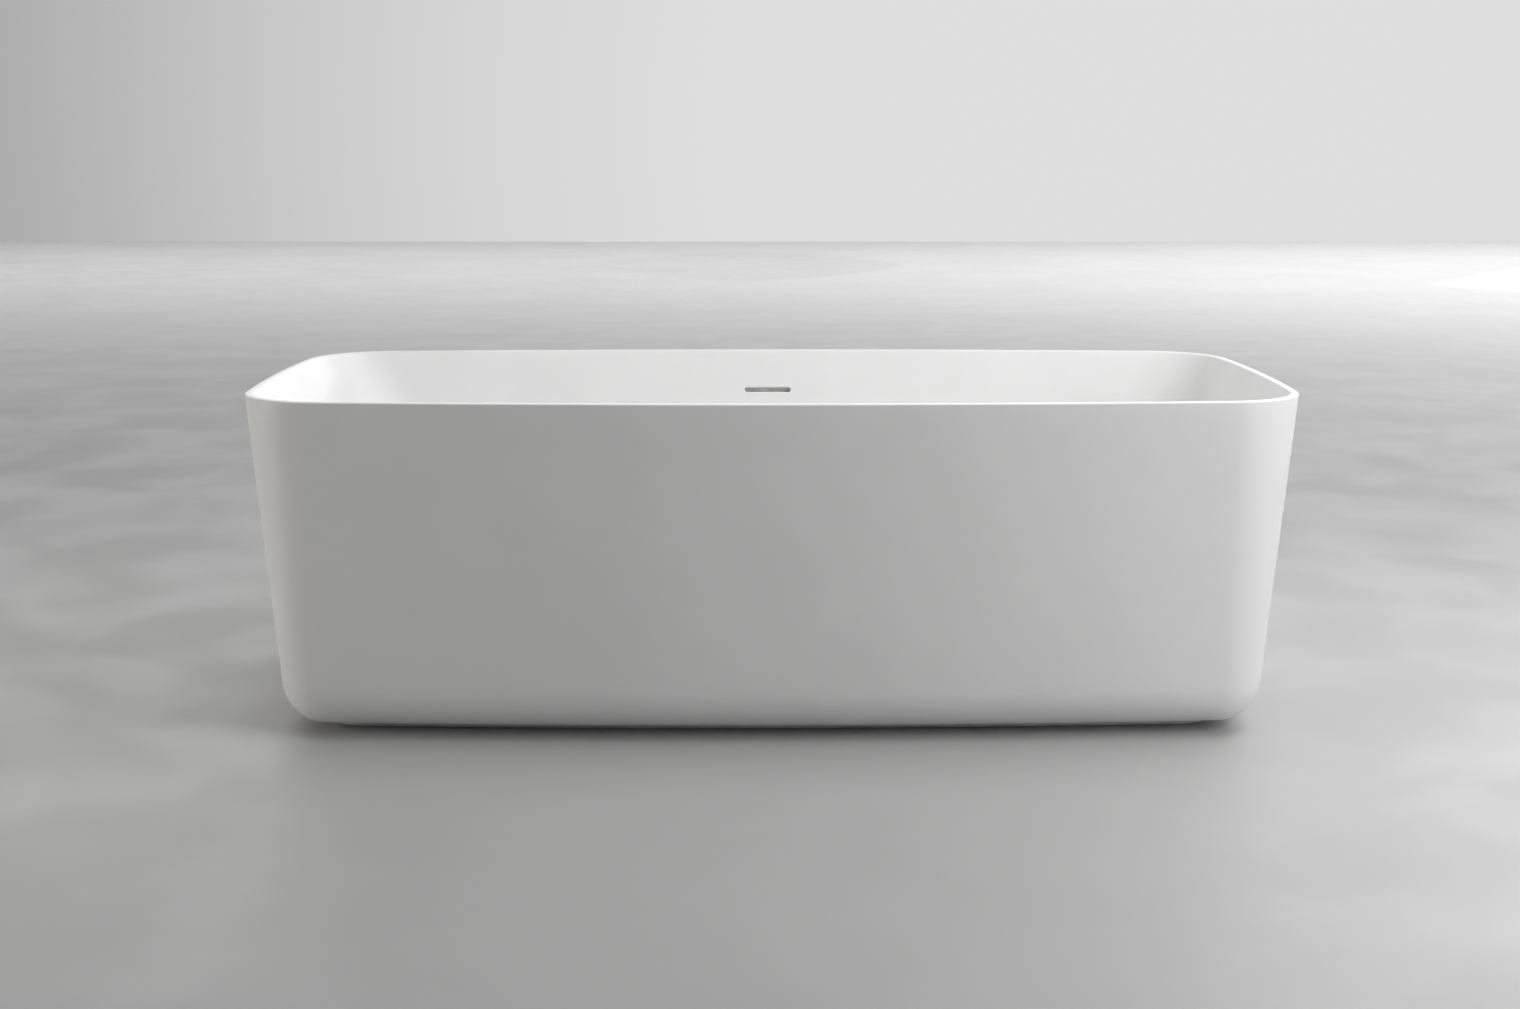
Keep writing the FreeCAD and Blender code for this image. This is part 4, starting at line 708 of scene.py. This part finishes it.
resin = FINISHES["solid_surface"]
points, faces = casing_mesh()
make_piece("casing", points, faces, resin, "tub", ["outer_shell"])
points, faces = basin_mesh()
basin = make_piece("basin_and_rim", points, faces, resin, "tub", ["basin"])
cut_overflow_slot(basin)
points, faces = plinth_mesh()
make_piece("plinth_strip", points, faces, resin, "tub", ["base_plinth"])


# ---------------------------------------------------------------- turned and swept hardware

def turned_mesh(profile, x, y, steps=72, ripple=None):
    """Points and faces of a profile of (radius, height) turned about an upright axis."""
    rings = []
    for radius, z in profile:
        ring = []
        for k in range(steps):
            turn = TURN * k / steps
            reach = radius + (ripple(turn, radius, z) if ripple else 0.0)
            ring.append(Vector((x + reach * math.cos(turn), y + reach * math.sin(turn), z)))
        rings.append(ring)
    return joined_rings(rings, closed=True)


def arc_points(x, z, radius, first, last, steps):
    """Points (radius, height) of an arc, angles in degrees from the outward direction."""
    found = []
    for k in range(steps + 1):
        turn = math.radians(first + (last - first) * k / steps)
        found.append((x + radius * math.cos(turn), z + radius * math.sin(turn)))
    return found


def make_waste_and_plug():
    """Chrome flange in the basin floor and the domed press plug over it."""
    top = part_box("waste_flange")[1].z / MM
    chrome = FINISHES["polished_chrome"]
    flange = [(20.0, 94.0), (23.0, 94.0), (23.0, top - 2.5), (34.2, top - 2.5)]
    flange += arc_points(34.2, top - 1.7, 0.8, -90, 50, 5)
    flange += [(32.6, top - 0.15), (31.0, top), (27.5, top - 0.1), (24.6, top - 0.5)]
    flange += arc_points(23.4, top - 4.0, 3.4, 60, 180, 8)
    points, faces = turned_mesh(flange, 0, 0, 96)
    ring = make_piece("waste_ring", points, faces, chrome, "tub", [], 40)
    bar_low, bar_high = 98.0, 104.0
    for index, (length, width) in enumerate(((42.0, 4.0), (4.0, 42.0))):
        soft_box("waste_cross_bar_%d" % (index + 1), (-length / 2, -width / 2, bar_low),
                 (length / 2, width / 2, bar_high), 0.8, chrome, "tub")
    points, faces = turned_mesh([(6.1, bar_low), (9.0, bar_low), (9.0, bar_high),
                                 (6.1, bar_high)], 0, 0, 48)
    make_piece("waste_boss", points, faces, chrome, "tub", [], 40)
    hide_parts("waste_flange")

    low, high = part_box("plug_cap")
    edge, seat, crown = high.x / MM, low.z / MM + 0.1, high.z / MM
    profile = [(0.01, seat + 1), (edge - 4, seat + 1), (edge - 3.6, seat + 0.1),
               (edge - 2.2, seat - 0.05)]
    profile += arc_points(edge - 1.5, seat + 1.6, 1.5, -60, 75, 8)
    rise = crown - (seat + 3.2)
    for k in range(1, 13):
        share = k / 12
        radius = (edge - 1.6) * math.cos(math.pi / 2 * share)
        profile.append((max(radius, 0.01), seat + 3.2 + rise * math.sin(math.pi / 2 * share)))
    points, faces = turned_mesh(profile, 0, 0, 96)
    make_piece("plug_dome", points, faces, chrome, "plug", ["plug_cap"], 40)


def soft_box(name, low, high, radius, material, body):
    """A block with rounded edges, in millimetres."""
    form = bmesh.new()
    bmesh.ops.create_cube(form, size=1.0)
    for vertex in form.verts:
        for axis in range(3):
            middle, span = (low[axis] + high[axis]) / 2, high[axis] - low[axis]
            vertex.co[axis] = (middle + vertex.co[axis] * span) * MM
    bmesh.ops.bevel(form, geom=list(form.edges), offset=radius * MM, segments=3,
                    affect="EDGES", profile=0.5, clamp_overlap=True)
    mesh = bpy.data.meshes.new(name)
    form.to_mesh(mesh)
    form.free()
    mesh.shade_smooth()
    mesh.set_sharp_from_angle(angle=math.radians(50))
    mesh.materials.append(material)
    piece = bpy.data.objects.new(name, mesh)
    bpy.context.scene.collection.objects.link(piece)
    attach(piece, body)
    return piece


def square_tube(name, node, along, radius=5.0, wall=2.5):
    """Rounded square tube between the ends of a CAD tube, along axis 0 or 1."""
    low, high = [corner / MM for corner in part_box(node)]
    across = 1 - along
    rings = []
    half = (high[across] - low[across]) / 2
    middle = (low[across] + high[across]) / 2
    mid_z = (low.z + high.z) / 2
    for place, inset in ((low[along], 0), (high[along], 0), (high[along], wall),
                         (low[along], wall)):
        ring = []
        corner = radius - inset
        for quarter in range(4):
            for k in range(7):
                turn = math.pi / 2 * (quarter + k / 6)
                sx = 1 if quarter in (0, 3) else -1
                sz = 1 if quarter in (0, 1) else -1
                u = (half - inset - corner) * sx + corner * math.cos(turn)
                w = (half - inset - corner) * sz + corner * math.sin(turn)
                point = [0, 0, mid_z + w]
                point[along], point[across] = place, middle + u
                ring.append(Vector(point))
        rings.append(ring)
    points, faces = joined_rings(rings, closed=True)
    make_piece(name, points, faces, FINISHES["frame_steel"], "tub", [node], 40)


def make_frame():
    """The welded sub-frame, with its weld beads."""
    for node in ("frame_rail_front", "frame_rail_back"):
        square_tube(node.replace("frame_", ""), node, 0)
    crosses = ("frame_cross_left_end", "frame_cross_left", "frame_cross_right",
               "frame_cross_right_end")
    points, faces = [], []
    for node in crosses:
        square_tube(node.replace("frame_", "") + "_tube", node, 1)
        low, high = [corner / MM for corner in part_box(node)]
        for y, out in ((low.y, 1), (high.y, -1)):
            x_low, x_high = low.x + 5, high.x - 5
            runs = [((x_low, y, low.z), (x_high, y, low.z), (0, 0, -1)),
                    ((x_low, y, high.z), (x_high, y, high.z), (0, 0, 1)),
                    ((low.x, y, low.z + 5), (low.x, y, high.z - 5), (-1, 0, 0)),
                    ((high.x, y, low.z + 5), (high.x, y, high.z - 5), (1, 0, 0))]
            for start, end, side in runs:
                add_bead(points, faces, Vector(start), Vector(end), Vector(side),
                         Vector((0, out, 0)))
    bead = make_piece("weld_beads", points, faces, FINISHES["frame_steel"], "tub",
                      [], 60)
    recalculate(bead.data)


def add_bead(points, faces, start, end, side, along_tube):
    """One run of weld, a closed form: a rounded fillet with the ripple each puddle leaves."""
    steps, section = 40, 8
    size, ripples, root = 2.6, 9, 0.4
    first = len(points)
    for k in range(steps + 1):
        share = k / steps
        taper = math.sin(math.pi * min(max(share, 0.04), 0.96)) ** 0.35
        puddle = 1 - 0.16 * abs(math.sin(math.pi * ripples * share))
        reach = size * taper * puddle
        centre = start.lerp(end, share)
        points.append(centre - side * root - along_tube * root)
        for j in range(section - 1):
            turn = -0.3 + (math.pi / 2 + 0.6) * j / (section - 2)
            points.append(centre + side * reach * math.cos(turn)
                          + along_tube * reach * math.sin(turn))
    for k in range(steps):
        for j in range(section):
            a = first + k * section + j
            b = first + k * section + (j + 1) % section
            faces.append((a, b, b + section, a + section))
    faces.append(tuple(range(first, first + section))[::-1])
    faces.append(tuple(range(first + steps * section, first + (steps + 1) * section)))


def softened(node, width, sharp=32.0):
    """A CAD piece with its hard edges rounded over by a small width, in millimetres."""
    source = frame["nodes"][node]
    form = bmesh.new()
    form.from_mesh(source.data)
    bmesh.ops.remove_doubles(form, verts=form.verts, dist=2e-6)
    bmesh.ops.dissolve_limit(form, angle_limit=math.radians(0.6), verts=form.verts,
                             edges=form.edges)
    mesh = bpy.data.meshes.new(node + "_finished")
    form.to_mesh(mesh)
    form.free()
    slot = SLOT_OF[node]
    mesh.materials.clear()
    mesh.materials.append(FINISHES[slot])
    mesh.shade_smooth()
    mesh.set_sharp_from_angle(angle=math.radians(sharp))
    piece = bpy.data.objects.new(mesh.name, mesh)
    bpy.context.scene.collection.objects.link(piece)
    bevel = piece.modifiers.new("soft_edges", "BEVEL")
    bevel.limit_method = "ANGLE"
    bevel.angle_limit = math.radians(sharp)
    bevel.width = width * MM
    bevel.segments = 2
    bevel.use_clamp_overlap = True
    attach(piece, BODY_OF[node])
    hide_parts(node)


def threaded_stud(node):
    """M12 stud: pin, knurled collar, and a real helical thread above it."""
    low, high = [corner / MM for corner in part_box(node)]
    x, y = (low.x + high.x) / 2, (low.y + high.y) / 2
    pitch, depth, radius = 1.75, 0.95, 6.0
    collar_low, collar_high = low.z + 4.5, low.z + 7.9
    profile = [(0.01, low.z), (4.6, low.z), (5.0, low.z + 0.5), (5.0, collar_low),
               (8.4, collar_low), (9.0, collar_low + 0.5), (9.0, collar_high - 0.5),
               (8.4, collar_high), (6.0, collar_high)]
    z = collar_high + 0.5
    while z < high.z - 0.9:
        profile.append((radius, z))
        z += pitch / 8
    profile += [(radius - 0.9, high.z), (0.01, high.z)]

    def ripple(turn, reach, height):
        if abs(reach - 9.0) < 0.01:
            return -0.3 * (0.5 + 0.5 * math.cos(turn * 36))
        if abs(reach - radius) < 0.01 and height > collar_high + 0.2:
            share = (height / pitch - turn / TURN) % 1.0
            return -depth * min(abs(share - 0.5) * 2 * 1.15, 1.0)
        return 0.0

    points, faces = turned_mesh(profile, x, y, 72, ripple=ripple)
    make_piece(node.replace("foot_stud", "threaded_stud"), points, faces,
               FINISHES["zinc_steel"], BODY_OF[node], [node], 60)


def make_hose():
    """Corrugated overflow hose: level run, one bend, then up to the overflow box."""
    low, high = [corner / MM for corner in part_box("overflow_hose")]
    outer, bore, bend = 13.0, 10.0, 54.0
    start_y, end_y = low.y, high.y - outer
    level_z, top_z = low.z + outer, high.z
    level, turn_length = end_y - bend - start_y, bend * math.pi / 2
    total = level + turn_length + top_z - level_z - bend

    def place(distance):
        if distance < level:
            return Vector((0, start_y + distance, level_z)), Vector((0, 0, 1))
        if distance < level + turn_length:
            turn = (distance - level) / bend
            centre = Vector((0, end_y - bend, level_z + bend))
            out = Vector((0, math.sin(turn), -math.cos(turn)))
            return centre + out * bend, -out
        rise = distance - level - turn_length
        return Vector((0, end_y, level_z + bend + rise)), Vector((0, -1, 0))

    pitch, cuff, steps = 4.2, 22.0, 40
    outside, distance = [], 0.0
    while distance < total:
        outside.append(distance)
        distance += pitch / 8
    outside.append(total)
    rings = []
    for distance in outside:
        from_end = min(distance, total - distance)
        wave = 0.5 + 0.5 * math.cos(TURN * distance / pitch)
        reach = outer - (1.5 * (1 - wave ** 0.6) if from_end > cuff else 0.35)
        rings.append((distance, reach))
    for distance in outside[:0:-8] + [0.0]:  # the bore follows the same route back
        rings.append((distance, bore))
    made = []
    for distance, reach in rings:
        centre, up = place(distance)
        side = Vector((1, 0, 0))
        made.append([
            centre + side * reach * math.cos(TURN * k / steps)
            + up * reach * math.sin(TURN * k / steps) for k in range(steps)
        ])
    points, faces = joined_rings(made, closed=True)
    hose = make_piece("corrugated_hose", points, faces, FINISHES["hose_plastic"], "tub",
                      ["overflow_hose"], 50)
    recalculate(hose.data)


def make_blocks():
    """Hardwood blocks on the rails, each with a grooved rubber pad on top."""
    low, high = [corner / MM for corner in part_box("support_blocks")]
    pad_low, pad_high = [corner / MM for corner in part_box("support_pads")]
    length, width = 60.0, 40.0
    for index, x in enumerate((-460.0, -160.0, 160.0, 460.0)):
        for side, y in (("front", low.y + width / 2), ("back", high.y - width / 2)):
            number = "%s_%d" % (side, index + 1)
            block = soft_box("wood_block_" + number, (x - length / 2, y - width / 2, low.z),
                             (x + length / 2, y + width / 2, high.z), 1.4,
                             FINISHES["support_wood"], "tub")
            pad = grooved_pad("rubber_pad_" + number, x, y, length, width, pad_low.z, pad_high.z)
            if index == 0 and side == "front":
                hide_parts("support_blocks")
                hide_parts("support_pads")


def grooved_pad(name, x, y, length, width, low, high):
    """Rubber pad with fine grooves round its edge."""
    rings = []
    layers = 10
    for k in range(layers + 1):
        share = k / layers
        inset = 0.7 * (0.5 - 0.5 * math.cos(TURN * 2.5 * share)) if 0 < k < layers else 0.5
        z = low + (high - low) * share
        ring = []
        corner = 3.0
        for quarter, (sx, sy) in enumerate(((1, 1), (-1, 1), (-1, -1), (1, -1))):
            for j in range(6):
                turn = math.pi / 2 * (quarter + j / 5)
                ring.append(Vector((
                    x + (length / 2 - corner) * sx + (corner - inset) * math.cos(turn),
                    y + (width / 2 - corner) * sy + (corner - inset) * math.sin(turn), z)))
        rings.append(ring)
    points, faces = joined_rings(rings)
    count = len(rings[0])
    faces.append(tuple(range(count))[::-1])
    faces.append(tuple(range(len(points) - count, len(points))))
    return make_piece(name, points, faces, FINISHES["black_rubber"], "tub", [],
                      60)


make_waste_and_plug()
make_frame()
make_blocks()
make_hose()
for node in frame["nodes"]:
    if node.startswith("foot_stud_"):
        threaded_stud(node)

SOFT_EDGES = {
    "rail_end_caps": 1.0, "shell_brackets": 0.7, "foot_lock_nuts": 0.6, "rail_inserts": 0.35,
    "bracket_bolts": 0.35, "flange_screws": 0.3, "overflow_box": 0.9, "overflow_gasket": 0.25,
    "overflow_screws": 0.25, "trap_body": 0.6, "trap_lid": 0.7, "trap_inlet_nut": 0.6,
    "trap_outlet_nut": 0.7, "trap_outlet_pipe": 0.4, "hose_clip_lower": 0.3,
    "hose_clip_upper": 0.3, "waste_body": 0.5, "waste_seal_lower": 0.5, "plug_cartridge": 0.4,
}
for node, width in SOFT_EDGES.items():
    softened(node, width)
for node in list(frame["nodes"]):
    if node.startswith(("foot_pad_", "foot_sole_")):
        softened(node, 0.4)
for node, part in frame["nodes"].items():
    if not part.hide_render:
        part.data.materials.clear()
        part.data.materials.append(FINISHES[SLOT_OF[node]])


# ---------------------------------------------------------------- floor, light and camera

def make_floor():
    """A large plain pale floor with faint clouding."""
    finish = Finish("studio_floor", specular=0.35)
    tone = finish.put(CLOUD, Light=(0.43, 0.43, 0.429), Dark=(0.41, 0.41, 0.409), Scale=1.3)
    finish.paint(tone["Color"])
    finish.gloss(finish.put(SHEEN, Scale=3.0, Smooth=0.42, Rough=0.6)["Roughness"])
    mesh = bpy.data.meshes.new("studio_floor")
    size = 14.0
    mesh.from_pydata(
        [(-size, -size, 0), (size, -size, 0), (size, size, 0), (-size, size, 0)], [],
        [(0, 1, 2, 3)],
    )
    mesh.materials.append(finish.material)
    floor = bpy.data.objects.new("studio_floor", mesh)
    bpy.context.scene.collection.objects.link(floor)


def soft_light(name, place, aim, size, power, colour):
    lamp = bpy.data.lights.new(name, "AREA")
    lamp.shape = "RECTANGLE"
    lamp.size, lamp.size_y = size
    lamp.energy = power
    lamp.color = colour
    light = bpy.data.objects.new(name, lamp)
    light.visible_camera = False
    light.location = place
    light.rotation_euler = (Vector(aim) - Vector(place)).to_track_quat("-Z", "Y").to_euler()
    bpy.context.scene.collection.objects.link(light)


NEUTRAL, WARM = (1.0, 1.0, 1.0), (1.0, 0.955, 0.91)
SKY_BASE = 0.01

# Soft panels: name, place, what it faces, size, watts, tint.
SOFT_LIGHTS = [
    ("ceiling_right", (1.6, -0.2, 2.6), (0.3, 0, 0.3), (1.4, 1.0), 28, NEUTRAL),
    ("ceiling_front", (-0.45, -0.45, 2.6), (-0.3, -0.1, 0), (2.6, 0.7), 18, NEUTRAL),
    ("front_right", (2.1, -1.7, 0.9), (0.7, -0.2, 0.35), (0.9, 0.9), 11, NEUTRAL),
    ("front_right_high", (2.0, -1.5, 1.8), (0.6, -0.2, 0.4), (0.9, 0.9), 21.5, NEUTRAL),
    ("front_left", (-2.1, -1.5, 0.9), (-0.8, -0.2, 0.35), (0.9, 0.9), 3.5, NEUTRAL),
    ("low_left", (-3.0, -0.6, 0.6), (-0.8, -0.2, 0.3), (1.0, 0.8), 14, WARM),
    ("far_floor", (0.0, 11.0, 4.5), (0, 11.0, 0), (18.0, 7.0), 900, NEUTRAL),
    ("far_floor_right", (8.0, 9.0, 4.5), (8.0, 9.0, 0), (7.0, 7.0), 780, NEUTRAL),
]

# Soft sky: direction, where its step starts and ends, and its strength.
SKY = [
    ((0, 1, 0), -0.4, 0.6, 0.37),
    ((0.208, 0.978, 0), 0.8, 0.995, 0.35),
]


def make_light():
    """A soft sky, brightest behind the tub, and large soft panels."""
    world = bpy.data.worlds.new("studio")
    world.use_nodes = True
    tree = world.node_tree
    background = tree.nodes["Background"]
    place = tree.nodes.new("ShaderNodeTexCoord")
    total = None
    for direction, low, high, strength in SKY:
        facing = tree.nodes.new("ShaderNodeVectorMath")
        facing.operation = "DOT_PRODUCT"
        facing.inputs[1].default_value = direction
        tree.links.new(place.outputs["Generated"], facing.inputs[0])
        step = map_range(tree, facing.outputs["Value"], low, high, 0.0, strength)
        add = tree.nodes.new("ShaderNodeMath")
        add.inputs[0].default_value = SKY_BASE
        if total is not None:
            tree.links.new(total, add.inputs[0])
        tree.links.new(step.outputs["Result"], add.inputs[1])
        total = add.outputs["Value"]
    tree.links.new(total, background.inputs["Color"])
    bpy.context.scene.world = world
    for row in SOFT_LIGHTS:
        soft_light(*row)


CAMERA_PLACE = (-0.0547, -3.2792, 0.9562)
CAMERA_YAW, CAMERA_PITCH, CAMERA_ROLL = 0.0111, 0.1913, 0.0009
LENS_MM, SENSOR_MM = 45.4666, 36.0


def make_camera():
    """The camera, in front of the tub and looking a little down on it."""
    yaw, pitch, roll = CAMERA_YAW, CAMERA_PITCH, CAMERA_ROLL
    forward = Vector((
        math.sin(yaw) * math.cos(pitch), math.cos(yaw) * math.cos(pitch), -math.sin(pitch)))
    right = Vector((math.cos(yaw), -math.sin(yaw), 0))
    up = right.cross(forward)
    level_right, level_up = right.copy(), up.copy()
    right = level_right * math.cos(roll) + level_up * math.sin(roll)
    up = level_up * math.cos(roll) - level_right * math.sin(roll)
    data = bpy.data.cameras.new("camera")
    data.sensor_fit = "HORIZONTAL"
    data.sensor_width = SENSOR_MM
    data.lens = LENS_MM
    camera = bpy.data.objects.new("camera", data)
    turn = Matrix((right, up, -forward)).transposed().to_4x4()
    camera.matrix_world = Matrix.Translation(CAMERA_PLACE) @ turn
    bpy.context.scene.collection.objects.link(camera)
    bpy.context.scene.camera = camera


make_floor()
make_light()
make_camera()
bpy.context.scene.view_settings.view_transform = "Standard"
